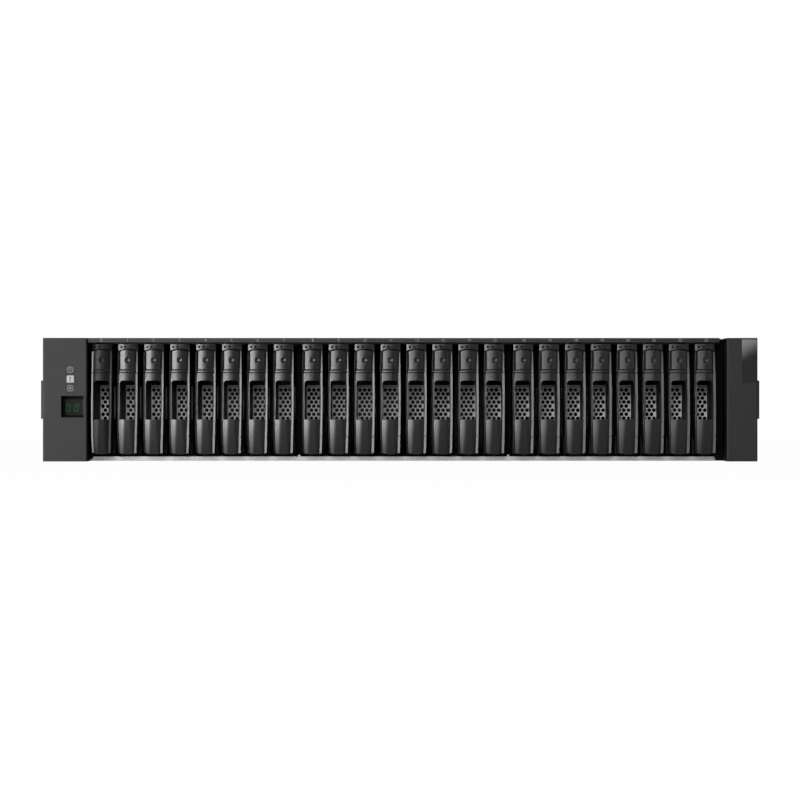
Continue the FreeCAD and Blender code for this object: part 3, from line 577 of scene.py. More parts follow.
def carved(shape, cutter):
    """The shape less a cutter, by an exact boolean."""
    meshes = []
    for part in (shape, cutter):
        mended(part)
        mesh = bpy.data.meshes.new("carving")
        part.to_mesh(mesh)
        part.free()
        meshes.append(mesh)
    tool = bpy.data.objects.new("tool", meshes[1])
    bpy.context.scene.collection.objects.link(tool)
    result = evaluated(meshes[0], "BOOLEAN", operation="DIFFERENCE", solver="EXACT", object=tool)
    bpy.data.meshes.remove(meshes[1])
    carving = bmesh.new()
    carving.from_mesh(result)
    bpy.data.meshes.remove(result)
    return mended(carving)


def joined(*shapes):
    """One shape with the faces of several."""
    whole = shapes[0]
    for other in shapes[1:]:
        mesh = bpy.data.meshes.new("joining")
        other.to_mesh(mesh)
        other.free()
        whole.from_mesh(mesh)
        bpy.data.meshes.remove(mesh)
    return whole


def placed(name, mesh, body, slot, replaces=(), x=0.0):
    """Puts a piece in the scene, on its body."""
    piece = bpy.data.objects.new(name, mesh)
    piece.location.x = x
    bpy.context.scene.collection.objects.link(piece)
    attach(piece, body)
    if replaces:
        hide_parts(*replaces)


def dressed(name, shape, finishes, body, slot, replaces=()):
    """Puts a shape in the scene as a piece of its own."""
    placed(name, to_mesh(name, shape, finishes), body, slot, replaces)


def node_copy(node, whole_before=None):
    """A copy of a solid from the frame, with its flat faces made whole.

    Behind a given Y the faces stay divided, so that no face with a hole in it is closed.
    """
    shape = bmesh.new()
    shape.from_mesh(frame["nodes"][node].data)
    mended(shape)
    edges = shape.edges[:]
    if whole_before is not None:
        edges = [edge for edge in edges if min(vert.co.y for vert in edge.verts) < whole_before]
    bmesh.ops.dissolve_limit(
        shape, angle_limit=radians(1), use_dissolve_boundaries=False, verts=[], edges=edges
    )
    return shape


def islands(shape):
    """The faces of each separate solid."""
    left = set(shape.faces)
    found = []
    while left:
        front = [left.pop()]
        group = []
        while front:
            face = front.pop()
            group.append(face)
            for edge in face.edges:
                for other in edge.link_faces:
                    if other in left:
                        left.remove(other)
                        front.append(other)
        found.append(group)
    return found


def reach(faces):
    """Lowest and highest corner of some faces."""
    points = [vert.co for face in faces for vert in face.verts]
    return (
        Vector([min(p[i] for p in points) for i in range(3)]),
        Vector([max(p[i] for p in points) for i in range(3)]),
    )


# Cam lever


def side_x(s, z):
    """Half the width at a height: the sides bow out like a barrel's."""
    rise = z - CARRIER_LOW.z - s.barrel_level
    return LEVER_HALF - s.barrel * (rise / s.barrel_span) ** 2


def face_sides(s, z):
    """Left and right side of the face, between the edge strips."""
    half = side_x(s, z)
    return -half - s.left_reach + s.left_strip, half - s.right_strip


def bow_y(s, z):
    rise = z - CARRIER_LOW.z - s.bow_apex
    return LEVER_FRONT + rise**2 / (2 * (s.bow_radius if rise > 0 else s.foot_bow_radius))


def rib_y(s, z):
    """The line that the right strip follows, straighter than the face."""
    return LEVER_FRONT + (z - CARRIER_LOW.z - s.rib_apex) ** 2 / (2 * s.rib_radius)


def face_fall(s, x, z):
    """How far the face lies behind its ridge.

    Its two slanted sides meet more sharply, and further apart, towards the foot.
    """
    head = CARRIER_LOW.z + s.window_rise + s.window_height
    share = min(max((head - z) / (head - LEVER_LOW.z), 0), 1)
    rounding = s.ridge_round / (1 + 2 * share)
    beside = max(abs(x) - s.flat_half * share, 0)
    return s.ridge_slope * (sqrt(beside**2 + rounding**2) - rounding)


# the second lever finish paints a highlight on the first lever's outer left strip
LEVER_PLASTIC, LEVER_HIGHLIGHT = range(2)
FACE_STEPS = 18  # across a face
FOOT_STEPS = 6  # from the round foot to the first level ring
FOOT_BLEND = 7.5 * MM  # height over which the round foot turns into level rings
WINDOW_RIM = 0.2 * MM  # from the window to the nearest points of the face
LUG_OVERLAP = 0.6 * MM  # how far the lug reaches into the foot's wall
NOTCH_MARGIN = 0.1 * MM  # from the face to the notch in a strip
STRIP_MARGIN = 0.05 * MM  # from the face to what counts as its outer strip
STRIP_DEPTH = 3.2 * MM  # of the strip with the painted highlight, behind the face


def face_columns(s, left, right):
    """X of the face's points, with a line of them close beside each side of the window."""
    widest = face_sides(s, CARRIER_LOW.z + s.barrel_level)
    inner = steps(-s.window_left - WINDOW_RIM, s.window_right + WINDOW_RIM, FACE_STEPS - 4)
    shares = [(x - widest[0]) / (widest[1] - widest[0]) for x in inner]
    return [left + (right - left) * share for share in (0, 0.5 * shares[0], *shares, 1)]


def lever_levels(s, low):
    """Heights of the lever's rings, with one close below and one close above the window."""
    sill = CARRIER_LOW.z + s.window_rise
    head = sill + s.window_height
    spring = head - s.window_corner
    levels = steps(low, sill - WINDOW_RIM, 6) + steps(sill + WINDOW_RIM, spring, 10)
    return levels + steps(spring, head + WINDOW_RIM, 4)[1:] + steps(head + WINDOW_RIM, LEVER_HIGH.z, 3)[1:]


def strip_points(s, half, inner, ridge, valley, back, level):
    """Right-hand points from the face out to the back: valley, slanted strip, outer edge and flange."""
    crest = ridge + valley - s.strip_slope * (half - s.edge - inner)
    return [
        (inner, ridge + valley, level(inner)),
        (half - s.edge, crest, level(half)),
        (half, crest + s.edge, level(half)),
        (half, back, level(half)),
    ]


def lever_ring(s, z, level):
    """Cross-section of the lever; level gives the height for each X."""
    half = side_x(s, z)
    left, right = face_sides(s, z)
    back = LEVER_FRONT + s.depth
    face = [(x, bow_y(s, level(x)) + face_fall(s, x, z), level(x)) for x in face_columns(s, left, right)]
    strips = []
    for outer, inner, line in ((half + s.left_reach, -left, bow_y(s, z)), (half, right, rib_y(s, z))):
        valley = max(face_fall(s, inner, z), s.valley)
        strips.append(strip_points(s, outer, inner, line, valley, back, level))
    return [(-x, y, h) for x, y, h in reversed(strips[0])] + face + strips[1]


def window_outline(s):
    """(x, z) pairs of the window: a straight sill and round upper corners."""
    sill = CARRIER_LOW.z + s.window_rise
    radius = s.window_corner
    spring = sill + s.window_height - radius
    turns = [(radius * (1 - cos(a)), spring + radius * sin(a)) for a in steps(0, pi / 2, 6)]
    right = [(s.window_right, sill)] + [(s.window_right - x, z) for x, z in turns]
    left = [(-s.window_left, sill)] + [(x - s.window_left, z) for x, z in turns]
    return right + left[::-1]


def about_pivot(radius, first, last, count):
    """(y, z) pairs of an arc about the pivot, between two angles in degrees."""
    angles = [radians(angle) for angle in steps(first, last, count)]
    return [(PIVOT.y + radius * cos(a), PIVOT.z + radius * sin(a)) for a in angles]


def lever_lug(s):
    """Round lug behind the foot, which turns on the pin."""
    half = s.lug_width / 2
    split = CARRIER_LOW.z + s.split_rise
    levels = steps(LEVER_LOW.z + s.foot_arch, split, 4)
    outline = [(bow_y(s, z) + s.foot_wall - LUG_OVERLAP, z) for z in levels]
    outline.append((LEVER_FRONT + s.depth, split))
    outline += about_pivot(s.lug_radius, 75, -90, 12)
    shape = bmesh.new()
    slab(shape, outline, -half, half)
    return soften(mended(shape), width=0.15 * MM)


def foot_level(s, share):
    """Gives the height for each X of a ring between the round foot and the first level ring."""
    blend = LEVER_LOW.z + FOOT_BLEND

    def level(x):
        end = LEVER_LOW.z + s.foot_arch * (x / LEVER_HALF) ** 2
        return end + (blend - end) * share

    return level


def lever_openings(s):
    """What is cut out of the lever's front: its window, and a fine notch across each strip."""
    split = CARRIER_LOW.z + s.split_rise
    before = LEVER_FRONT - s.depth
    behind = LEVER_FRONT + 2 * s.depth
    cutter = bmesh.new()
    plate(cutter, window_outline(s), before, behind)
    left, right = face_sides(s, split)
    spans = (
        (right + NOTCH_MARGIN, LEVER_HALF + s.notch),
        (-LEVER_HALF - 2 * s.notch, left - NOTCH_MARGIN),
    )
    for x0, x1 in spans:
        low = (x0, before, split - s.notch / 2)
        high = (x1, LEVER_FRONT + s.valley + s.notch, split + s.notch / 2)
        block(cutter, low, high)
    return cutter


def lever_hollow(s):
    """The channel between the flanges, behind the lever's face."""
    split = CARRIER_LOW.z + s.split_rise
    back = LEVER_FRONT + s.depth
    inner = LEVER_HALF - s.flange
    hollow = bmesh.new()
    low = (-inner, back - s.hollow_depth, split + s.hollow_rib)
    block(hollow, low, (inner, back + s.depth, LEVER_HIGH.z - s.hollow_rib))
    return hollow


def lever_room(s):
    """Room for the carrier's ears, behind the wall of the lever's foot."""
    low = LEVER_LOW.z - s.foot_arch
    top = PIVOT.z + s.lug_radius
    behind = LEVER_FRONT + 2 * s.depth
    inner = LEVER_HALF - s.flange
    outline = [(bow_y(s, z) + s.foot_wall, z) for z in steps(low, top, 5)]
    room = bmesh.new()
    slab(room, outline + [(behind, top), (behind, low)], -inner, inner)
    return room


def cam_lever(s):
    """Bowed lever with a window, hollow behind between its flanges, and a lug at its foot."""
    rings = []
    for share in steps(0, 1, FOOT_STEPS):
        level = foot_level(s, share)
        rings.append(lever_ring(s, level(0), level))
    for height in lever_levels(s, LEVER_LOW.z + FOOT_BLEND)[1:]:
        rings.append(lever_ring(s, height, lambda x: height))
    lever = bmesh.new()
    loft(lever, rings)
    for cutter in (lever_openings(s), lever_hollow(s), lever_room(s)):
        lever = carved(lever, cutter)
    return joined(soften(lever, width=0.14 * MM), lever_lug(s))


def bare_left_strip(shape, s, c, finish):
    """Marks the outer strip on the left, below the indicator cap, with a painted highlight: bright metal that
    stands in for light on that strip.
    """
    for face in shape.faces:
        middle = face.calc_center_median()
        front = bow_y(s, min(middle.z, LEVER_HIGH.z))
        outside = middle.x < face_sides(s, middle.z)[0] - STRIP_MARGIN
        if outside and middle.y < front + STRIP_DEPTH and middle.z < CARRIER_HIGH.z - c.cap_height:
            face.material_index = finish


# Drive carrier


# the last carrier finish paints a highlight on the first carrier's outer left strip
CARRIER_PAINT, GRILLE_STEEL, LENS, BRIGHT_STEEL, BUTTON_PLASTIC, STRIP_HIGHLIGHT = range(6)
LOWER_GAP = 0.8  # the gap below the button, as a share of the one above it
DIMPLE_RINGS = (0.1, 0.4, 0.8, 1.6)  # of the cone that cuts the dimple, as shares of its radius
LENS_LEVEL = 0.45  # of the lenses, as a share of the cap's height from its top
LENS_PROFILE = ((-0.2, 0.97), (0.05, 0.97), (0.14, 0.7), (0.17, 0.3))  # rise in mm, share of the radius
HOLE_ROWS = 8
HOLE_COLUMNS = range(-2, 3)
HOLE_SIDES = 12
FIRST_ROW = 0.5 * MM  # of the grille's holes, above the window's sill
HOLE_SHIFT = 0.7 * MM  # of the rows, to the left
HOLE_INSIDE = 0.3  # least distance of a hole's middle from the tunnel's wall, in hole widths
SHEET_ROWS = HOLE_ROWS - 0.3  # height of the sheet above the first row, in rows
FOLD_DEPTH, FOLD_HEIGHT, FOLD_GAP = 1.6 * MM, 1.3 * MM, 0.2 * MM  # the grille's folded upper edge
PIN_RADIUS = 1.2 * MM
LEAF_SET_BACK, LEAF_DEPTH, LEAF_SHEET = 1.5 * MM, 5 * MM, 0.1 * MM
LEAF_SHARE = 0.85  # the contact leaf's height, as a share of the window's


def convex_bar(shape, fall, left, right, front, back, low, high, finish, rows=5):
    """A bar whose face falls away from the middle; low and high give its edges for each X."""
    rings = []
    for share in steps(0, 1, rows):
        def level(x, share=share):
            return low(x) + (high(x) - low(x)) * share
        row = [(x, front + fall(x), level(x)) for x in steps(left, right, FACE_STEPS)]
        rings.append([(left, back, level(left))] + row + [(right, back, level(right))])
    loft(shape, rings, finish)


def release_button(s, c):
    """Convex button with an arched top and a finger dimple."""
    sill = LEVER_HIGH.z + c.lever_gap + c.ridge_height + LOWER_GAP * c.button_gap
    top = CARRIER_HIGH.z - c.cap_height - c.button_gap + c.button_arch
    front = LEVER_FRONT + c.button_front
    middle = (c.button_right - c.button_left) / 2
    half = (c.button_right + c.button_left) / 2
    shape = bmesh.new()
    convex_bar(
        shape,
        lambda x: face_fall(s, x, CARRIER_HIGH.z),
        -c.button_left,
        c.button_right,
        front,
        LEVER_FRONT + c.pocket_floor,
        lambda x: sill,
        lambda x: top - c.button_arch * ((x - middle) / half) ** 2,
        BUTTON_PLASTIC,
    )
    profile = [
        (front + c.dimple_depth * (1 - share), share * c.dimple_diameter / 2) for share in DIMPLE_RINGS
    ]
    spot = (-c.dimple_left, CARRIER_LOW.z + c.dimple_rise)
    cone = bmesh.new()
    turned(cone, 1, spot, profile, LARGE_ROUND, BUTTON_PLASTIC)
    return soften(carved(shape, cone), width=0.18 * MM)


def indicator_cap(s, c):
    """Convex cap above the button, with two small round windows."""
    half = side_x(s, CARRIER_HIGH.z)
    low = CARRIER_HIGH.z - c.cap_height
    front = LEVER_FRONT + c.cap_front
    shape = bmesh.new()

    def fall(x):
        return x**2 / (2 * c.cap_round)

    convex_bar(
        shape,
        fall,
        -half - s.left_reach,
        half,
        front,
        LEVER_FRONT + c.pocket_floor,
        lambda x: low + c.button_arch * (1 - (x / half) ** 2),
        lambda x: CARRIER_HIGH.z,
        BUTTON_PLASTIC,
    )
    cutter = bmesh.new()
    lenses = bmesh.new()
    for x in (-c.lens_left, -c.lens_left + c.lens_pitch):
        spot = (x, CARRIER_HIGH.z - LENS_LEVEL * c.cap_height)
        floor = front + fall(x) + c.lens_depth
        plate(cutter, disc(spot, c.lens_width / 2, MIDDLE_ROUND), front - c.cap_round, floor, LENS)
        profile = [(floor - rise * MM, share * c.lens_width / 2) for rise, share in LENS_PROFILE]
        turned(lenses, 1, spot, profile, MIDDLE_ROUND, LENS)
    return joined(soften(carved(shape, cutter), width=0.12 * MM), mended(lenses))


def flange(s, c, low, high, right):
    """Edge strip beside the button, in line with the lever's."""
    back = LEVER_FRONT + c.pocket_floor
    rings = []
    for z in steps(low, high, 6):
        front = rib_y(s, z) if right else LEVER_FRONT + c.button_front
        sides = face_sides(s, z)
        inner = sides[1] + c.flange_gap if right else -sides[0]
        outer = side_x(s, z) + (0 if right else s.left_reach)
        points = strip_points(s, outer, inner, front, face_fall(s, inner, z), back, lambda x: z)
        ring = [(inner, back, z)] + points
        rings.append(ring if right else [(-x, y, h) for x, y, h in ring])
    shape = bmesh.new()
    loft(shape, rings, BUTTON_PLASTIC)
    return soften(mended(shape), width=0.1 * MM)


def cheek(s, c, right):
    """Ear beside the lever's lug, with a round end about the pivot pin."""
    recess = PIVOT.y + c.recess
    outline = [(recess, PIVOT.z - c.cheek_radius), (recess, PIVOT.z + c.cheek_radius)]
    outline += about_pivot(c.cheek_radius, 90, 270, 14)
    inner = s.lug_width / 2 + c.cheek_gap
    sides = (inner, inner + c.cheek) if right else (-inner - c.cheek, -inner)
    shape = bmesh.new()
    slab(shape, outline, *sides)
    return soften(mended(shape), width=0.12 * MM)


def carrier_frame(s, c):
    """Tunnel frame, upper block, ridge and rails."""
    front = LEVER_FRONT + c.frame_front
    rear = LEVER_FRONT + c.frame_rear
    split = CARRIER_LOW.z + s.split_rise
    sill = LEVER_HIGH.z + c.lever_gap
    frame_block = bmesh.new()
    block(frame_block, (-LEVER_HALF, front, split), (LEVER_HALF, rear, sill), CARRIER_PAINT)
    tunnel = bmesh.new()
    inner = LEVER_HALF - c.frame_wall
    low = (-inner, front - c.frame_front, split + c.frame_bar)
    block(tunnel, low, (inner, rear + c.frame_front, sill - c.frame_bar))
    shape = soften(carved(frame_block, tunnel), width=0.2 * MM)
    upper = side_x(s, CARRIER_HIGH.z)
    boxes = [
        (upper, LEVER_FRONT + c.pocket_floor, rear, sill, CARRIER_HIGH.z),
        (LEVER_HALF, PIVOT.y + c.recess, rear, CARRIER_LOW.z, split),
    ]
    for low in (CARRIER_LOW.z, CARRIER_HIGH.z - c.rail):
        boxes.append((LEVER_HALF, rear, CARRIER_HIGH.y, low, low + c.rail))
    for half, near, far, low, high in boxes:
        part = bmesh.new()
        block(part, (-half, near, low), (half, far, high), CARRIER_PAINT)
        shape = joined(shape, soften(mended(part), width=0.2 * MM))
    ridge = bmesh.new()
    convex_bar(
        ridge,
        lambda x: face_fall(s, x, CARRIER_HIGH.z),
        *face_sides(s, sill),
        LEVER_FRONT + c.button_front,
        LEVER_FRONT + c.pocket_floor,
        lambda x: sill,
        lambda x: sill + c.ridge_height,
        BUTTON_PLASTIC,
        rows=2,
    )
    return joined(shape, soften(mended(ridge), width=0.3 * MM))


def grille(s, c):
    """Perforated sheet across the tunnel, with staggered round holes, and its folded upper edge."""
    near = LEVER_FRONT + c.frame_rear
    far = near + c.grille_sheet
    half = LEVER_HALF - c.frame_wall
    first = CARRIER_LOW.z + s.window_rise + FIRST_ROW
    top = first + SHEET_ROWS * c.row_pitch
    sheet = bmesh.new()
    low = (-LEVER_HALF, near, CARRIER_LOW.z + s.split_rise)
    block(sheet, low, (LEVER_HALF, far, top), GRILLE_STEEL)
    cutter = bmesh.new()
    for row in range(HOLE_ROWS):
        shift = -HOLE_SHIFT + (0 if row % 2 else c.hole_pitch / 2)
        for column in HOLE_COLUMNS:
            spot = (shift + column * c.hole_pitch, first + row * c.row_pitch)
            if abs(spot[0]) < half - HOLE_INSIDE * c.hole:
                outline = disc(spot, c.hole / 2, HOLE_SIDES)
                plate(cutter, outline, near - c.grille_sheet, far + c.grille_sheet, GRILLE_STEEL)
    fold = bmesh.new()
    low = (-half, near - FOLD_DEPTH, top + FOLD_GAP)
    block(fold, low, (half, far, top + FOLD_GAP + FOLD_HEIGHT), GRILLE_STEEL)
    return joined(carved(sheet, cutter), soften(mended(fold), width=0.25 * MM))


def small_parts(s, c):
    """Pivot pin, and the contact leaf on the carrier's right-hand side."""
    shape = bmesh.new()
    inner = s.lug_width / 2 + c.cheek_gap + c.cheek / 2
    ends = [(x, PIN_RADIUS) for x in (-inner, inner)]
    turned(shape, 0, (PIVOT.y, PIVOT.z), ends, SMALL_ROUND, BRIGHT_STEEL)
    half = LEAF_SHARE * s.window_height / 2
    middle = CARRIER_LOW.z + s.window_rise + half
    near = LEVER_FRONT + c.frame_front + LEAF_SET_BACK
    far = near + LEAF_DEPTH
    leaf = []
    for share in steps(-1, 1, 10):
        inside = LEVER_HALF - LEAF_SHEET * share**2
        outside = inside + LEAF_SHEET
        corners = ((inside, near), (inside, far), (outside, far), (outside, near))
        leaf.append([(x, y, middle + share * half) for x, y in corners])
    loft(shape, leaf, BRIGHT_STEEL)
    return mended(shape)


def carrier_front(s, c):
    """Everything of a carrier but its drive and its lever."""
    sill = LEVER_HIGH.z + c.lever_gap
    top = CARRIER_HIGH.z - c.cap_height - c.button_gap
    parts = [make(s, c) for make in (carrier_frame, grille, release_button, indicator_cap, small_parts)]
    for right in (False, True):
        parts += [flange(s, c, sill, top, right), cheek(s, c, right)]
    return joined(*parts)


DRIVE_CASE, DRIVE_LID, DRIVE_PLUG, DRIVE_SCREW = range(4)
DRIVE_CLEARANCE = 0.175 * MM  # between the drive and each rail
LID_SHEET = 0.8 * MM
LID_LEVEL = DRIVE_HALF - 0.2 * LID_SHEET
LID_MARGIN, LID_REAR_MARGIN, LID_CORNER = 2 * MM, 9 * MM, 5 * MM
HUB_SET_BACK = 38 * MM  # of the platters' middle, behind the drive's front
HUB_STEPS = ((26 * MM, 0.15 * LID_SHEET), (11 * MM, 0.2 * LID_SHEET))  # radius, rise above the lid
HUB_SIDES = 48
SCREW_INSET, SCREW_RADIUS = 6 * MM, 1.9 * MM
MIDDLE_SCREW_SHIFT = 8 * MM  # to the rear
REAR_SCREW_INSET = LID_REAR_MARGIN + 5 * MM
PLUG_HALF, PLUG_DEPTH, PLUG_HALF_HEIGHT = 2.4 * MM, 5 * MM, 16 * MM


def drive_body(c):
    """Cast drive case with its screwed lid and its plug at the rear."""
    low = CARRIER_LOW.z + c.rail + DRIVE_CLEARANCE
    high = CARRIER_HIGH.z - c.rail - DRIVE_CLEARANCE
    near = LEVER_FRONT + c.frame_rear + c.drive_setback
    far = CARRIER_HIGH.y
    seat = DRIVE_HALF - LID_SHEET
    middle = (low + high) / 2
    case = bmesh.new()
    block(case, (-DRIVE_HALF, near, low), (seat, far, high), DRIVE_CASE)
    lids = bmesh.new()
    outline = rounded(
        near + LID_MARGIN, far - LID_REAR_MARGIN, low + LID_MARGIN, high - LID_MARGIN, LID_CORNER
    )
    slab(lids, outline, seat - LID_SHEET / 2, LID_LEVEL, DRIVE_LID)
    for radius, rise in HUB_STEPS:
        profile = ((seat, radius), (LID_LEVEL + rise, radius))
        turned(lids, 0, (near + HUB_SET_BACK, middle), profile, HUB_SIDES, DRIVE_LID)
    screws = bmesh.new()
    for y in (near + SCREW_INSET, (near + far) / 2 + MIDDLE_SCREW_SHIFT, far - REAR_SCREW_INSET):
        for z in (low + SCREW_INSET, high - SCREW_INSET):
            profile = ((seat, SCREW_RADIUS), (DRIVE_HALF, SCREW_RADIUS))
            turned(screws, 0, (y, z), profile, SMALL_ROUND, DRIVE_SCREW)
    plug = bmesh.new()
    corner = (-PLUG_HALF, far - PLUG_DEPTH, middle - PLUG_HALF_HEIGHT)
    block(plug, corner, (PLUG_HALF, far, middle + PLUG_HALF_HEIGHT), DRIVE_PLUG)
    return joined(
        soften(mended(case), width=0.8 * MM, segments=3),
        soften(mended(lids), width=0.1 * MM),
        soften(mended(screws), width=0.12 * MM),
        mended(plug),
    )


# Stage


# For each light: the setting of its brightness, degrees round from the front, degrees up, distance in metres,
# width and height
LIGHTS = {
    "front_light": ("key", -8, 30, 2.6, 0.65, 1.4),
    "low_light": ("low", -34, 3, 1.6, 0.7, 0.15),
    "slanting_light": ("slant", -50, 2, 1.5, 0.4, 0.12),
    "left_light": ("side", -66, 1.5, 1.3, 0.4, 0.12),
    "right_light": ("fill", 62, 3, 1.6, 0.5, 0.3),
    "rear_light": ("rear", 155, 38, 2.8, 1.4, 1.4),
}
STAGE_RADIUS = 4.0
STAGE_SIDES = 96
FLOOR_REACH = 1.2  # the floor's radius, as a share of the backdrop's
FLOOR_DROP = 0.2 * MM  # below the tray
SENSOR_WIDTH = 36.0
NEAREST, FURTHEST = 0.01, 50.0  # the camera's range


def area_light(name, around, up, distance, width, height, brightness):
    """A soft light: degrees round from the front and up; brightness is that of a white sheet facing it."""
    target = Vector((0, LEVER_FRONT, CAD_BOX[1].z / 2))
    if abs(around) > 90:
        target.y = CAD_BOX[1].y
    lamp = bpy.data.lights.new(name, "AREA")
    lamp.shape = "RECTANGLE"
    lamp.size = width
    lamp.size_y = height
    lamp.energy = brightness * (pi * distance) ** 2
    made = bpy.data.objects.new(name, lamp)
    across, rise = radians(around), radians(up)
    away = Vector((sin(across) * cos(rise), -cos(across) * cos(rise), sin(rise)))
    made.location = target + away * distance
    made.rotation_euler = away.to_track_quat("Z", "Y").to_euler()
    made.visible_camera = False
    bpy.context.scene.collection.objects.link(made)


class ARRAY_OT_stage(bpy.types.Operator):
    """Makes the floor, the backdrop, the lights and the camera"""

    bl_idname = "array.stage"
    bl_label = "Stage"

    def studio(self, ambient):
        """Even white light from all round."""
        world = bpy.data.worlds.new("studio")
        world.use_nodes = True
        background = world.node_tree.nodes["Background"].inputs
        background["Color"].default_value = (1, 1, 1, 1)
        background["Strength"].default_value = ambient
        return world

    def floor(self):
        shape = bmesh.new()
        rim = disc((0, 0), FLOOR_REACH * STAGE_RADIUS, STAGE_SIDES)
        shape.faces.new([shape.verts.new((x, y, 0)) for x, y in rim])
        return shape

    def wall(self):
        """Upright ring all round the floor."""
        shape = bmesh.new()
        rim = disc((0, 0), STAGE_RADIUS, STAGE_SIDES)
        loft(shape, [[(x, y, z) for x, y in rim] for z in (-FLOOR_DROP, STAGE_RADIUS)], capped=False)
        return shape

    def camera(self, t):
        """A camera that looks straight at the front."""
        camera = bpy.data.cameras.new("camera")
        camera.sensor_width = SENSOR_WIDTH
        camera.lens = SENSOR_WIDTH * t.distance / t.view_width
        camera.clip_start = NEAREST
        camera.clip_end = FURTHEST
        made = bpy.data.objects.new("camera", camera)
        made.location = (t.view_x, LEFT_CAP_LOW.y - t.distance, t.view_z)
        made.rotation_euler = (pi / 2, 0, 0)
        bpy.context.scene.collection.objects.link(made)
        return made

    def execute(self, context):
        scene = context.scene
        t = scene.array_stage
        scene.view_settings.view_transform = "Standard"
        scene.world = self.studio(t.ambient)
        pale_floor = backdrop("pale_floor", kept=0.06, mirrored=0.15, spread=0.8)
        pale_backdrop = backdrop("pale_backdrop", kept=0.0, mirrored=0.1)
        for name, shape, finish, spot in (
            ("floor", self.floor(), pale_floor, (0, TRAY_HIGH.y / 2, -FLOOR_DROP)),
            ("backdrop", self.wall(), pale_backdrop, (0, 0, 0)),
        ):
            made = bpy.data.objects.new(name, to_mesh(name, shape, [finish]))
            made.location = spot
            scene.collection.objects.link(made)
        for name, (setting, *place) in LIGHTS.items():
            area_light(name, *place, getattr(t, setting))
        scene.camera = self.camera(t)
        return {"FINISHED"}


# Chassis


STUD_PLACES = (60 * MM, 230 * MM, 400 * MM)
STUD_PROFILE = ((-0.2, 2.2), (0.7, 2.2), (0.7, 3.4), (1.4, 3.4))  # out from the wall, and radius, in mm
SCREW_PLACES_X = (-200 * MM, -70 * MM, 70 * MM, 200 * MM)
SCREW_PLACES_Y = (COVER_LOW.y + 14 * MM, COVER_HIGH.y - 8 * MM)
SINK_PROFILE = ((-0.6, 2.0), (-0.05, 3.0), (0.5, 4.0))  # level above the cover, and radius, in mm
HEAD_PROFILE = ((-0.7, 1.9), (-0.15, 2.7))  # the same, for a screw's head
TURNED_SIDES = 32
TAB_PLACES = (-68.6 * MM, 73.4 * MM)
TAB_SIZE, TAB_SET_BACK, TAB_RISE = 1.6 * MM, 0.1 * MM, 2.5 * MM
LIP_DEPTH, LIP_GAP = 1.9 * MM, 0.2 * MM  # the cage's lip: behind the tray's front, above the carriers
POST_GAP, POST_DEPTH, POST_RISE, POST_DROP = 0.9 * MM, 0.8 * MM, 0.3 * MM, 0.5 * MM
CONNECTOR_DEPTH = 3 * MM  # a solid on the midplane that is deeper is a connector


def scaled(base, share):
    """A colour made darker or lighter."""
    return [share * level for level in base]


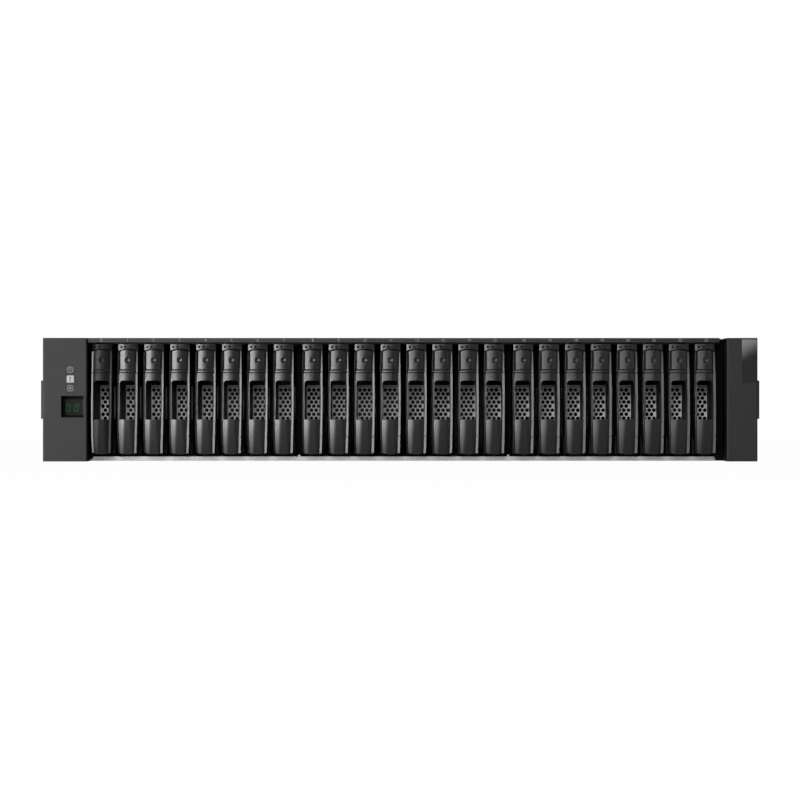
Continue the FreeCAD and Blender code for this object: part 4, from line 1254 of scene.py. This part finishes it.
class ARRAY_OT_chassis(bpy.types.Operator):
    """Makes the sheet-metal chassis: tray, cover, drive cage, midplane and rear divider"""

    bl_idname = "array.chassis"
    bl_label = "Chassis"

    def tray(self):
        """The tray, with two small tabs on its front lip."""
        tray = soften(node_copy("chassis_tray"), width=0.25 * MM)
        near = TRAY_LOW.y + TAB_SET_BACK
        low = TRAY_LOW.z + TAB_RISE
        for x in TAB_PLACES:
            tab = bmesh.new()
            block(tab, (x - TAB_SIZE / 2, near, low), (x + TAB_SIZE / 2, near + TAB_SIZE, low + TAB_SIZE))
            tray = joined(tray, soften(mended(tab), width=0.3 * MM))
        return tray

    def wall_studs(self):
        """Shoulder studs along both side walls, for the rack's rails."""
        studs = bmesh.new()
        for wall, out in ((COVER_LOW.x, -MM), (COVER_HIGH.x, MM)):
            profile = [(wall + out * rise, radius * MM) for rise, radius in STUD_PROFILE]
            for y in STUD_PLACES:
                turned(studs, 0, (y, CAD_BOX[1].z / 2), profile, TURNED_SIDES)
        return soften(mended(studs), width=0.15 * MM)

    def cover(self):
        """The cover, with a countersunk screw at each place."""
        sinks = bmesh.new()
        screws = bmesh.new()
        for shape, profile in ((sinks, SINK_PROFILE), (screws, HEAD_PROFILE)):
            levels = [(COVER_HIGH.z + rise * MM, radius * MM) for rise, radius in profile]
            for x in SCREW_PLACES_X:
                for y in SCREW_PLACES_Y:
                    turned(shape, 2, (x, y), levels, TURNED_SIDES, finish=1)
        cover = soften(node_copy("top_cover"), width=0.4 * MM)
        return joined(carved(cover, sinks), soften(mended(screws), width=0.1 * MM))

    def cage(self):
        """The drive cage, with its upper lip in the second finish."""
        cage = soften(node_copy("drive_cage"), width=0.2 * MM)
        lip_low = CARRIER_HIGH.z + LIP_GAP
        everything = cage.verts[:] + cage.edges[:] + cage.faces[:]
        bmesh.ops.bisect_plane(cage, geom=everything, plane_co=(0, 0, lip_low), plane_no=(0, 0, 1))
        for face in cage.faces:
            middle = face.calc_center_median()
            face.material_index = int(middle.y < TRAY_LOW.y + LIP_DEPTH and middle.z > lip_low)
        return cage

    def end_post(self):
        """Upright between the last bay and the right-hand cap."""
        post = bmesh.new()
        left = bay_x(BAYS[-1]) + DRIVE_HALF + POST_GAP
        high = (RIGHT_CAP_LOW.x, TRAY_LOW.y, CAGE_HIGH.z - POST_DROP)
        block(post, (left, TRAY_LOW.y - POST_DEPTH, POST_RISE), high)
        return soften(mended(post), width=0.25 * MM)

    def midplane(self):
        """The midplane, with its connectors in the second finish."""
        board = node_copy("midplane_board")
        for group in islands(board):
            low, high = reach(group)
            for face in group:
                face.material_index = int(high.y - low.y > CONNECTOR_DEPTH)
        return board

    def execute(self, context):
        f = context.scene.array_finish
        steel = zinc_sheet("zinc_sheet", scaled(f.steel, 0.82))
        cover_steel = zinc_sheet("cover_sheet", scaled(f.steel, 0.7), roughness=0.64, metallic=0.15)
        screw = brushed("screw_head", (0.2, 0.2, 0.205), 0.55, stretch=(1, 1, 1), metallic=0.5)
        # black paint of cage and end post, darkened further as painted shade in the gaps
        black = painted("black_paint", f.cage, 0.75, specular_ior_level=0.05)
        lip = painted("lip_paint", f.lip, 0.5, specular_ior_level=0.4)
        mask = circuit_board("midplane_mask", f.board)
        connector = moulded("connector_black", f.carrier, 0.45)
        divider = soften(node_copy("rear_bay_divider"), width=0.2 * MM)
        for name, shape, finishes, slot, nodes in (
            ("tray", self.tray(), [steel], "chassis_steel", ["chassis_tray"]),
            ("wall_studs", self.wall_studs(), [screw], "chassis_steel", []),
            ("divider", divider, [steel], "chassis_steel", ["rear_bay_divider"]),
            ("cover", self.cover(), [cover_steel, screw], "chassis_steel", ["top_cover"]),
            ("cage", self.cage(), [black, lip], "cage_paint", ["drive_cage"]),
            ("end_post", self.end_post(), [black], "cage_paint", []),
            ("midplane", self.midplane(), [mask, connector], "board", ["midplane_board"]),
        ):
            dressed(name, shape, finishes, "chassis", slot, nodes)
        return {"FINISHED"}


# End caps


CAP_SET_BACK = 0.15 * MM  # the caps' fronts, behind the fronts of their solids
INWARD = 0.7  # a face whose normal points inwards by more is on the cap's inner side, which is painted in near-black shade
CAP_SKIN = 0.8 * MM  # a face in the display's opening that lies deeper is inside the cap
DISPLAY_OPENING = (
    (LEFT_CAP_HIGH.x - 17.3 * MM, 29.6 * MM),
    (LEFT_CAP_HIGH.x - 2.3 * MM, 44.0 * MM),
)
OPENING_SLACK = 0.3 * MM
PLATE_X = (RIGHT_CAP_HIGH.x - 12.0 * MM, RIGHT_CAP_HIGH.x - 1.55 * MM)
PLATE_Y = (RIGHT_CAP_LOW.y + 0.03 * MM, RIGHT_CAP_LOW.y + 0.45 * MM)
PLATE_Z = (RIGHT_CAP_HIGH.z - 30.1 * MM, RIGHT_CAP_HIGH.z - 1.1 * MM)
PLATE_CORNER = 0.4 * MM
SHEEN_SLANT = 0.6  # rise of the painted sheen's edge for each unit across
SHEEN_START, SHEEN_END = -11 * MM, 6 * MM  # up from where that edge passes the cap's outer corner


def in_display(point):
    """Whether a point lies in the display's opening, or on its walls."""
    (x0, z0), (x1, z1) = DISPLAY_OPENING
    across = x0 - OPENING_SLACK < point.x < x1 + OPENING_SLACK
    return across and z0 - OPENING_SLACK < point.z < z1 + OPENING_SLACK


class ARRAY_OT_end_caps(bpy.types.Operator):
    """Makes the moulded end caps over the rack ears, and the bare plate on the right-hand one"""

    bl_idname = "array.end_caps"
    bl_label = "End caps"

    def plate_gloss(self):
        """Black gloss with a painted sheen: a pale reflection painted into its colour, which fades from its upper
        left corner.
        """
        finish = Finish("plate_gloss")
        smear = finish.grain(5 * MM, detail=3.0)
        across = finish.node("SeparateXYZ", {}, {"Vector": finish.places()})
        rise = Value(finish, across.socket.node.outputs["Z"])
        corner = RIGHT_CAP_HIGH.z - SHEEN_SLANT * RIGHT_CAP_HIGH.x
        sheen = finish.node(
            "MapRange",
            {"interpolation_type": "SMOOTHSTEP"},
            {
                "Value": rise - across * SHEEN_SLANT,
                "From Min": corner + SHEEN_START,
                "From Max": corner + SHEEN_END,
            },
        )
        return finish.surface(
            # painted reflection: the colour runs from black to pale grey across the sheen
            base_color=finish.between((0.005, 0.005, 0.0055), (0.16, 0.16, 0.16), sheen),
            roughness=varied(0.2, smear, spread=0.08),
        )

    def cap(self, node, inward):
        """A cap, with its inner side and the walls of its openings in the second finish, a near-black painted
        shade.
        """
        cap = node_copy(node)
        for vert in cap.verts:
            if vert.co.y < LEFT_CAP_LOW.y + CAP_SET_BACK:
                vert.co.y += CAP_SET_BACK
        soften(cap, width=0.5 * MM)
        for face in cap.faces:
            middle = face.calc_center_median()
            shaded_opening_wall = middle.y > LEFT_CAP_LOW.y + CAP_SKIN and in_display(middle)
            face.material_index = int(shaded_opening_wall or face.normal.x * inward > INWARD)
        return cap

    def execute(self, context):
        f = context.scene.array_finish
        texture = {"grain": 0.6 * MM, "depth": 0.02 * MM}
        plastic = moulded("cap_plastic", f.cap, 0.62, specular_ior_level=0.3, **texture)
        # painted shade: the caps' inner sides and the walls of the display opening are near black, standing in for
        # the shade that falls there
        inside = moulded("cap_inside", f.cage, 0.7, specular_ior_level=0.1, **texture)
        for side, inward in (("left", 1), ("right", -1)):
            node = side + "_end_cap"
            dressed(side + "_cap", self.cap(node, inward), [plastic, inside], "chassis", "end_cap", [node])
        shape = bmesh.new()
        plate(shape, rounded(*PLATE_X, *PLATE_Z, PLATE_CORNER), *PLATE_Y)
        soften(mended(shape), width=0.08 * MM)
        dressed("bare_plate", shape, [self.plate_gloss()], "chassis", "end_cap")
        return {"FINISHED"}


# Status display


SEGMENT_LAYOUT = {
    "top": (0, 1, True),
    "upper_left": (-1, 0.5, False),
    "upper_right": (1, 0.5, False),
    "middle": (0, 0, True),
    "lower_left": (-1, -0.5, False),
    "lower_right": (1, -0.5, False),
    "bottom": (0, -1, True),
}
LIT_FOR_ZERO = ("top", "upper_left", "upper_right", "lower_left", "lower_right", "bottom")
HOUSING, PANEL, DIGIT_LIT, DIGIT_DARK, LAMP_LIT, LAMP_DIM, SIGN, SIGN_DARK = range(8)
LAMP_CORNER, LAMP_SINK = 0.5 * MM, 0.02 * MM
LAMP_DEPTH = 1 * MM  # a solid of the display that starts less deep in the cap is a lamp
SIGN_RISE, SIGN_SHEET = 0.06 * MM, 0.12 * MM
RING_OUTER, RING_INNER = 2.2 * MM, 1.75 * MM
DIGIT_WIDTH, DIGIT_HEIGHT, DIGIT_LEAN = 3.0 * MM, 5.4 * MM, 0.1
DIGIT_RISE, DIGIT_SINK = 0.08 * MM, 0.1 * MM
DIGIT_PLACES, DIGIT_DROP = (3.75 * MM, 9.45 * MM), 0.7 * MM  # from the opening's left side and its middle
SEGMENT_WIDTH = 0.7 * MM
SEGMENT_GAP, SEGMENT_CORNER = 1.2, 0.3  # left free at the ends, and their rounding, in widths
PANEL_DEPTH, PANEL_FRONT, PANEL_BACK = 4.0 * MM, 0.5 * MM, 0.2 * MM
PANEL_LEFT, PANEL_LOW, PANEL_HIGH = 2.0 * MM, 1.6 * MM, 2.2 * MM  # inside the opening
PANEL_CORNER = 0.2 * MM
DULL_LEFT, DULL_RIGHT, DULL_INSET = 1.7 * MM, 0.3 * MM, 0.4 * MM  # the dull strip, inside the panel
DULL_HALF_SHEET = 0.1 * MM


class ARRAY_OT_status_display(bpy.types.Operator):
    """Makes the two-digit display and the three lamps above it"""

    bl_idname = "array.status_display"
    bl_label = "Status display"

    def digit(self, shape, x, z, y):
        """A seven-segment zero, leaning a little to the right."""
        for name, (across, up, level) in SEGMENT_LAYOUT.items():
            middle_x = x + across * (DIGIT_WIDTH - SEGMENT_WIDTH) / 2
            middle_z = z + up * (DIGIT_HEIGHT - SEGMENT_WIDTH) / 2
            half = ((DIGIT_WIDTH if level else DIGIT_HEIGHT / 2) - SEGMENT_GAP * SEGMENT_WIDTH) / 2
            half_x, half_z = (half, SEGMENT_WIDTH / 2) if level else (SEGMENT_WIDTH / 2, half)
            sides = (middle_x - half_x, middle_x + half_x, middle_z - half_z, middle_z + half_z)
            ends = rounded(*sides, SEGMENT_CORNER * SEGMENT_WIDTH, parts=2)
            leaning = [(px + (pz - z) * DIGIT_LEAN, pz) for px, pz in ends]
            finish = DIGIT_LIT if name in LIT_FOR_ZERO else DIGIT_DARK
            plate(shape, leaning, y - DIGIT_RISE, y + DIGIT_SINK, finish)

    def sign(self, shape, order, x, z, y):
        """A lamp's sign: a bar in a ring, a bar over a dot, or a dot in a ring."""

        def bar(half, down, up, corner, finish):
            outline = rounded(x - half * MM, x + half * MM, z + down * MM, z + up * MM, corner * MM)
            plate(shape, outline, y, y + SIGN_SHEET, finish)

        def dot(rise, radius, sides, finish):
            plate(shape, disc((x, z + rise * MM), radius * MM, sides), y, y + SIGN_SHEET, finish)

        if order == 1:
            bar(0.35, -0.5, 1.6, 0.2, SIGN_DARK)
            dot(-1.3, 0.4, SMALL_ROUND, SIGN_DARK)
            return
        rings = [disc((x, z), radius, LARGE_ROUND) for radius in (RING_OUTER, RING_INNER)]
        band(shape, *rings, y, y + SIGN_SHEET, SIGN)
        if order == 0:
            bar(0.25, -0.1, 1.3, 0.15, SIGN)
        else:
            dot(0, 0.8, MIDDLE_ROUND, SIGN)

    def lamps(self, places, front):
        """The lamps' lenses and their signs."""
        lenses = []
        signs = bmesh.new()
        for order, (low, high) in enumerate(places):
            lens = bmesh.new()
            outline = rounded(low.x, high.x, low.z, high.z, LAMP_CORNER)
            plate(lens, outline, front + LAMP_SINK, high.y, LAMP_LIT if order == 1 else LAMP_DIM)
            lenses.append(soften(mended(lens), width=0.1 * MM))
            self.sign(signs, order, (low.x + high.x) / 2, (low.z + high.z) / 2, front - SIGN_RISE)
        return joined(*lenses, mended(signs))

    def panel(self, front):
        """The panel in the opening, with two digits and a dull strip beside them."""
        (x0, z0), (x1, z1) = DISPLAY_OPENING
        floor = front + PANEL_DEPTH
        face = floor - PANEL_FRONT
        shape = bmesh.new()
        low, high = z0 + PANEL_LOW, z1 - PANEL_HIGH
        outline = rounded(x0 + PANEL_LEFT, x1, low, high, PANEL_CORNER)
        plate(shape, outline, face, floor + PANEL_BACK, PANEL)
        sides = (x1 - DULL_LEFT, x1 - DULL_RIGHT, low + DULL_INSET, high - DULL_INSET)
        outline = rounded(*sides, PANEL_CORNER)
        plate(shape, outline, face - DULL_HALF_SHEET, face + DULL_HALF_SHEET, DIGIT_DARK)
        for across in DIGIT_PLACES:
            self.digit(shape, x0 + across, (z0 + z1) / 2 - DIGIT_DROP, face)
        return mended(shape)

    def execute(self, context):
        f = context.scene.array_finish
        housing = node_copy("status_display")
        lamps = [group for group in islands(housing) if reach(group)[0].y < LEFT_CAP_LOW.y + LAMP_DEPTH]
        places = sorted((reach(group) for group in lamps), key=lambda box: -box[0].z)
        for face in housing.faces:
            face.material_index = HOUSING
        bmesh.ops.delete(housing, geom=[face for group in lamps for face in group], context="FACES")
        front = LEFT_CAP_LOW.y + CAP_SET_BACK
        shape = joined(soften(mended(housing), width=0.15 * MM), self.lamps(places, front), self.panel(front))
        finishes = [
            moulded("display_housing", f.cage, 0.6, specular_ior_level=0.05),
            glossy("display_panel", f.panel, 0.5, specular_ior_level=0.1),
            lit("digit_lit", f.digit, 0.35, specular_ior_level=0.05),
            glossy("digit_dark", (0.012, 0.014, 0.010), 0.5, specular_ior_level=0.1),
            lit("lamp_lit", f.lamp, 0.1),
            moulded("lamp_dim", f.cap, 0.5),
            moulded("sign_print", f.print_grey, 0.6),
            moulded("sign_dark", f.cap, 0.6),
        ]
        dressed("display", shape, finishes, "chassis", "display", ["status_display"])
        return {"FINISHED"}


# Bays


class ARRAY_OT_drive_carriers(bpy.types.Operator):
    """Makes the drive carriers with their buttons, indicator caps, grilles and drives"""

    bl_idname = "array.drive_carriers"
    bl_label = "Drive carriers"

    def execute(self, context):
        scene = context.scene
        s, c, f = scene.array_lever, scene.array_carrier, scene.array_finish
        finishes = [
            painted("carrier_paint", f.carrier, 0.6, specular_ior_level=0.2),
            painted("grille_steel", f.grille, 0.6, specular_ior_level=0.2),
            glossy("indicator_lens", (0.004, 0.004, 0.004), 0.5, specular_ior_level=0.05),
            # steel of the pin and contact leaf, paler and less metallic than steel; partly painted light, so the
            # shaded leaf beside each lever shows as a lit line
            brushed("bright_steel", (0.7, 0.7, 0.7), 0.5, stretch=(1, 1, 0.1), metallic=0.1),
            bpy.data.materials["lever_charcoal"],
            bpy.data.materials["bare_strip"],
        ]
        drive_finishes = [
            # painted shade: the drive's case and lid are near black, far darker than cast or sheet metal, so the
            # grille's holes and the gaps between bays show as shade
            painted("drive_casting", (0.014, 0.014, 0.0145), 0.55, specular_ior_level=0.2),
            brushed("drive_lid", (0.02, 0.02, 0.021), 0.5, stretch=(1, 0.05, 1), metallic=0.1),
            moulded("drive_plug", f.carrier, 0.45),
            brushed("drive_screw", (0.12, 0.12, 0.12), 0.35, stretch=(1, 1, 1)),
        ]
        plain = to_mesh("carrier_front", carrier_front(s, c), finishes)
        # painted shade: the first carrier's button, cap, ridge and flanges take a darker, more matt copy of the
        # lever plastic, standing in for the left end cap's shadow
        finishes[BUTTON_PLASTIC] = bpy.data.materials["lever_dull"]
        first_shape = carrier_front(s, c)
        # paints a highlight on the first carrier's outer left strip
        bare_left_strip(first_shape, s, c, STRIP_HIGHLIGHT)
        first = to_mesh("carrier_front_first", first_shape, finishes)
        case = to_mesh("drive_body", drive_body(c), drive_finishes)
        for bay in BAYS:
            mesh = first if bay == BAYS[0] else plain
            for name, part in (("carrier_", mesh), ("drive_case_", case)):
                placed(name + bay, part, "drive_" + bay, "carrier", ["drive_carrier_" + bay], bay_x(bay))
        return {"FINISHED"}


class ARRAY_OT_cam_levers(bpy.types.Operator):
    """Makes the bowed cam levers across the front"""

    bl_idname = "array.cam_levers"
    bl_label = "Cam levers"

    def execute(self, context):
        scene = context.scene
        s, c, f = scene.array_lever, scene.array_carrier, scene.array_finish
        texture = {"grain": 0.45 * MM, "depth": 0.006 * MM}
        finishes = [
            moulded("lever_charcoal", f.lever, 0.38, specular_ior_level=0.3, **texture),
            # bright metal on one strip only: a painted highlight
            brushed("bare_strip", f.bare_strip, 0.4, stretch=(1, 1, 0.05), metallic=0.2),
        ]
        plain = to_mesh("cam_lever", cam_lever(s), finishes)
        # painted shade: the first lever takes a darker, more matt copy of its plastic, standing in for the left
        # end cap's shadow
        finishes[LEVER_PLASTIC] = moulded("lever_dull", f.lever, 0.5, specular_ior_level=0.12, **texture)
        first_shape = cam_lever(s)
        # paints a highlight on the first lever's outer left strip
        bare_left_strip(first_shape, s, c, LEVER_HIGHLIGHT)
        first = to_mesh("cam_lever_first", first_shape, finishes)
        for bay in BAYS:
            mesh = first if bay == BAYS[0] else plain
            placed("lever_" + bay, mesh, "handle_" + bay, "handle", ["cam_handle_" + bay], bay_x(bay))
        return {"FINISHED"}


NUMBER_SIZE, NUMBER_HALF_DEPTH, NUMBER_RISE = 2.6 * MM, 0.03 * MM, 0.02 * MM
NUMBER_DROP = 1.6 * MM  # of a number's middle, below the cage's top


class ARRAY_OT_bay_numbers(bpy.types.Operator):
    """Prints a small number above each bay"""

    bl_idname = "array.bay_numbers"
    bl_label = "Bay numbers"

    def number(self, number, spot):
        """The mesh of a number that faces the front."""
        text = bpy.data.curves.new("number", "FONT")
        text.body = str(number)
        text.size = NUMBER_SIZE
        text.resolution_u = 3
        text.extrude = NUMBER_HALF_DEPTH
        text.align_x = "CENTER"
        text.align_y = "CENTER"
        holder = bpy.data.objects.new("number", text)
        bpy.context.scene.collection.objects.link(holder)
        mesh = bpy.data.meshes.new_from_object(holder.evaluated_get(bpy.context.evaluated_depsgraph_get()))
        bpy.data.curves.remove(text)
        mesh.transform(Matrix.Translation(spot) @ Matrix.Rotation(pi / 2, 4, "X"))
        return mesh

    def execute(self, context):
        f = context.scene.array_finish
        shape = bmesh.new()
        for number, bay in enumerate(BAYS):
            spot = Vector((bay_x(bay), CAGE_LOW.y - NUMBER_RISE, CAGE_HIGH.z - NUMBER_DROP))
            mesh = self.number(number, spot)
            shape.from_mesh(mesh)
            bpy.data.meshes.remove(mesh)
        print_grey = moulded("number_print", scaled(f.print_grey, 2), 0.6)
        dressed("bay_numbers", shape, [print_grey], "chassis", "cage_paint")
        return {"FINISHED"}


# Rear canisters


PORT_ZONE = 50 * MM  # how far the ports reach in from the rear wall
MOUTH_SLACK = 0.2 * MM
BOARD_HEIGHT = 3 * MM  # a solid in a canister that is lower is a board
MOUTH_CORNER, RIM_CORNER = 0.05 * MM, 0.6 * MM
HOST_RIM, JACK_RIM, INLET_RIM = (0.7, 0.35), (0.5, 0.25), (1.2, 0.8)  # width, and rise from the wall, in mm
EDGE_CONNECTOR = 30 * MM  # length of a host port's connector
EDGE_SIDE, EDGE_LOW, EDGE_HIGH = 1.6 * MM, 1.4 * MM, 2.4 * MM  # from the mouth's sides to the connector
INSERT_SIDE, INSERT_LOW, INSERT_HIGH = 0.9 * MM, 0.8 * MM, 1.9 * MM  # walls of a jack's insert
INSERT_NEAR, INSERT_FAR, INSERT_CORNER = 0.2 * MM, 2.0 * MM, 0.3 * MM
JACK_CONTACTS, CONTACT_PITCH, CONTACT_SIZE = 8, 1.02 * MM, 0.4 * MM
CONTACT_START, CONTACT_END, CONTACT_RISE = 1.5 * MM, 3.0 * MM, 1.4 * MM
JACK_LENS_WIDTH, JACK_LENS_LOW, JACK_LENS_HIGH = 2.0 * MM, 1.5 * MM, 0.4 * MM
JACK_LENS_NEAR, JACK_LENS_FAR = 0.1 * MM, 0.4 * MM
INLET_PINS = ((0, 3.2), (-7, -2.4), (7, -2.4))  # across and up from the inlet's middle, in mm
PIN_HALF_X, PIN_HALF_Z = 1, 2.2  # mm
PIN_SET_BACK = 4 * MM
LENS_ROUND = ((-0.1, 1.1), (0.25, 1.1), (0.45, 0.75))  # out from the wall, and radius, in mm
SCREW_MARGIN = 5.5 * MM  # from a canister's sides
SCREW_OUTER, SCREW_INNER, SCREW_FLOOR = 2.3 * MM, 1.0 * MM, 1.05 * MM
SCREW_RISE, SCREW_FLOOR_RISE = 1.0 * MM, 0.3 * MM
CONTROLLER_LENSES = (132, 138, 144)  # mm from the array's middle
POWER_LENSES = (147,)


class ARRAY_OT_canisters(bpy.types.Operator):
    """Makes the controllers and power supplies at the rear"""

    bl_idname = "array.canisters"
    bl_label = "Rear canisters"

    SHELL, PULL, BOARD, PORT = range(4)
    CAGE, PLASTIC, CONTACT, GREEN_LENS, AMBER_LENS, SCREW = range(6)

    def mouths(self, side, kind):
        """Lowest and highest corner of each opening of a kind."""
        names = [name for name in OPENINGS if name.startswith(kind) and name.endswith("_" + side)]
        return [OPENINGS[name] for name in names]

    def beside(self, point, box):
        """Whether a point lies in an opening or on its walls, seen from the rear."""
        low, high = box
        return all(low[i] - MOUTH_SLACK < point[i] < high[i] + MOUTH_SLACK for i in (0, 2))

    def canister(self, node, mouths):
        """The canister's sheet-metal box with its pull, board and port walls."""
        shape = node_copy(node, TRAY_HIGH.y - PORT_ZONE)
        for group in islands(shape):
            low, high = reach(group)
            flat = high.z - low.z < BOARD_HEIGHT
            for face in group:
                middle = face.calc_center_median()
                if middle.y > TRAY_HIGH.y + MOUTH_SLACK / 2:
                    face.material_index = self.PULL
                elif middle.y < TRAY_HIGH.y - MOUTH_SLACK and any(self.beside(middle, box) for box in mouths):
                    face.material_index = self.PORT
                else:
                    face.material_index = self.BOARD if flat else self.SHELL
        return soften(shape, width=0.3 * MM)

    def rim(self, shape, low, high, sizes, finish):
        """Raised frame round a port's mouth."""
        width, proud = (size * MM for size in sizes)
        outer = rounded(low.x - width, high.x + width, low.z - width, high.z + width, RIM_CORNER)
        inner = rounded(low.x, high.x, low.z, high.z, MOUTH_CORNER)
        band(shape, outer, inner, high.y + proud, high.y, finish)

    def host_port(self, shape, low, high):
        """Rim and edge connector."""
        self.rim(shape, low, high, HOST_RIM, self.CAGE)
        corner = (low.x + EDGE_SIDE, low.y, low.z + EDGE_LOW)
        end = (high.x - EDGE_SIDE, low.y + EDGE_CONNECTOR, high.z - EDGE_HIGH)
        block(shape, corner, end, self.PLASTIC)

    def network_jack(self, shape, low, high):
        """Rim, plastic insert, contacts and two lenses."""
        self.rim(shape, low, high, JACK_RIM, self.CAGE)
        outer = rounded(low.x, high.x, low.z, high.z, MOUTH_CORNER)
        sides = (low.x + INSERT_SIDE, high.x - INSERT_SIDE, low.z + INSERT_LOW, high.z - INSERT_HIGH)
        inner = rounded(*sides, INSERT_CORNER)
        band(shape, outer, inner, high.y - INSERT_NEAR, high.y - INSERT_FAR, self.PLASTIC)
        first = (low.x + high.x - (JACK_CONTACTS - 1) * CONTACT_PITCH - CONTACT_SIZE) / 2
        for order in range(JACK_CONTACTS):
            corner = (first + order * CONTACT_PITCH, low.y + CONTACT_START, low.z + CONTACT_RISE)
            end = (corner[0] + CONTACT_SIZE, high.y - CONTACT_END, corner[2] + CONTACT_SIZE)
            block(shape, corner, end, self.CONTACT)
        right = high.x - INSERT_SIDE - JACK_LENS_WIDTH
        for x, lens in ((low.x + INSERT_SIDE, self.GREEN_LENS), (right, self.AMBER_LENS)):
            corner = (x, high.y - JACK_LENS_FAR, high.z - JACK_LENS_LOW)
            end = (x + JACK_LENS_WIDTH, high.y - JACK_LENS_NEAR, high.z - JACK_LENS_HIGH)
            block(shape, corner, end, lens)

    def inlet(self, shape, low, high):
        """Rim and three pins."""
        self.rim(shape, low, high, INLET_RIM, self.PLASTIC)
        middle = (low + high) / 2
        for x, z in INLET_PINS:
            corner = (middle.x + (x - PIN_HALF_X) * MM, low.y, middle.z + (z - PIN_HALF_Z) * MM)
            end = (
                middle.x + (x + PIN_HALF_X) * MM,
                high.y - PIN_SET_BACK,
                middle.z + (z + PIN_HALF_Z) * MM,
            )
            block(shape, corner, end, self.CONTACT)

    def wall_parts(self, shape, node, lens_places):
        """Round lenses and two screws on the rear wall."""
        low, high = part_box(node)
        wall = TRAY_HIGH.y
        z = (low.z + high.z) / 2
        profile = [(wall + out * MM, radius * MM) for out, radius in LENS_ROUND]
        for order, x in enumerate(lens_places):
            lens = self.AMBER_LENS if order == 1 else self.GREEN_LENS
            turned(shape, 1, (x, z), profile, MIDDLE_ROUND, lens)
        for x in (low.x + SCREW_MARGIN, high.x - SCREW_MARGIN):
            rings = [disc((x, z), radius, MIDDLE_ROUND) for radius in (SCREW_OUTER, SCREW_INNER, SCREW_FLOOR)]
            band(shape, *rings[:2], wall + SCREW_RISE, wall, self.SCREW)
            plate(shape, rings[2], wall, wall + SCREW_FLOOR_RISE, self.SCREW)

    def execute(self, context):
        f = context.scene.array_finish
        shell = zinc_sheet("canister_sheet", scaled(f.steel, 0.85), roughness=0.55, metallic=0.2)
        pull = moulded("pull_plastic", f.carrier, 0.45)
        board = circuit_board("controller_mask", f.board)
        cage = brushed("port_cage", (0.45, 0.44, 0.42), 0.35, stretch=(1, 0.1, 1))
        plastic = moulded("inlet_plastic", (0.012, 0.012, 0.012), 0.4)
        small = [
            cage,
            plastic,
            brushed("contact_gold", (0.55, 0.39, 0.14), 0.3, stretch=(1, 0.1, 1)),
            glossy("lens_green", (0.02, 0.10, 0.03), 0.3),
            glossy("lens_amber", (0.25, 0.10, 0.01), 0.3),
            bpy.data.materials["screw_head"],
        ]
        ports = {"host_port": self.host_port, "network_jack": self.network_jack}
        inlets = {"power_inlet": self.inlet}
        controller = ("controller_", "controller_case_", "controller_ports_", "canister_steel")
        power = ("power_supply_", "power_case_", "power_inlet_", "power_case")
        for side, away in (("a", -MM), ("b", MM)):
            for (node, case, fittings, slot), walls, openings, lenses in (
                (controller, cage, ports, CONTROLLER_LENSES),
                (power, plastic, inlets, POWER_LENSES),
            ):
                boxes = {kind: self.mouths(side, kind) for kind in openings}
                box_shape = self.canister(node + side, sum(boxes.values(), []))
                dressed(case + side, box_shape, [shell, pull, board, walls], node + side, slot, [node + side])
                shape = bmesh.new()
                for kind, make in openings.items():
                    for box in boxes[kind]:
                        make(shape, *box)
                self.wall_parts(shape, node + side, [away * place for place in lenses])
                dressed(fittings + side, soften(mended(shape), width=0.08 * MM), small, node + side, slot)
        return {"FINISHED"}


CLASSES = (
    LeverSettings,
    CarrierSettings,
    FinishSettings,
    StageSettings,
    ARRAY_OT_stage,
    ARRAY_OT_chassis,
    ARRAY_OT_end_caps,
    ARRAY_OT_status_display,
    ARRAY_OT_cam_levers,
    ARRAY_OT_drive_carriers,
    ARRAY_OT_bay_numbers,
    ARRAY_OT_canisters,
)
SETTINGS = {
    "array_lever": LeverSettings,
    "array_carrier": CarrierSettings,
    "array_finish": FinishSettings,
    "array_stage": StageSettings,
}
OPERATORS = [kind for kind in CLASSES if issubclass(kind, bpy.types.Operator)]


class VIEW3D_PT_array(bpy.types.Panel):
    """Lists the array's settings and operators"""

    bl_label = "Storage array"
    bl_space_type = "VIEW_3D"
    bl_region_type = "UI"
    bl_category = "Storage array"

    def draw(self, context):
        for name, kind in SETTINGS.items():
            group = getattr(context.scene, name)
            for setting in kind.__annotations__:
                self.layout.prop(group, setting)
        for kind in OPERATORS:
            self.layout.operator(kind.bl_idname)


def register():
    for kind in (*CLASSES, VIEW3D_PT_array):
        bpy.utils.register_class(kind)
    for name, kind in SETTINGS.items():
        setattr(bpy.types.Scene, name, PointerProperty(type=kind))


def unregister():
    for name in SETTINGS:
        delattr(bpy.types.Scene, name)
    for kind in reversed((*CLASSES, VIEW3D_PT_array)):
        bpy.utils.unregister_class(kind)


def main():
    register()
    bpy.ops.array.stage()
    bpy.ops.array.chassis()
    bpy.ops.array.end_caps()
    bpy.ops.array.status_display()
    bpy.ops.array.cam_levers()
    bpy.ops.array.drive_carriers()
    bpy.ops.array.bay_numbers()
    bpy.ops.array.canisters()


if __name__ == "__main__":
    main()
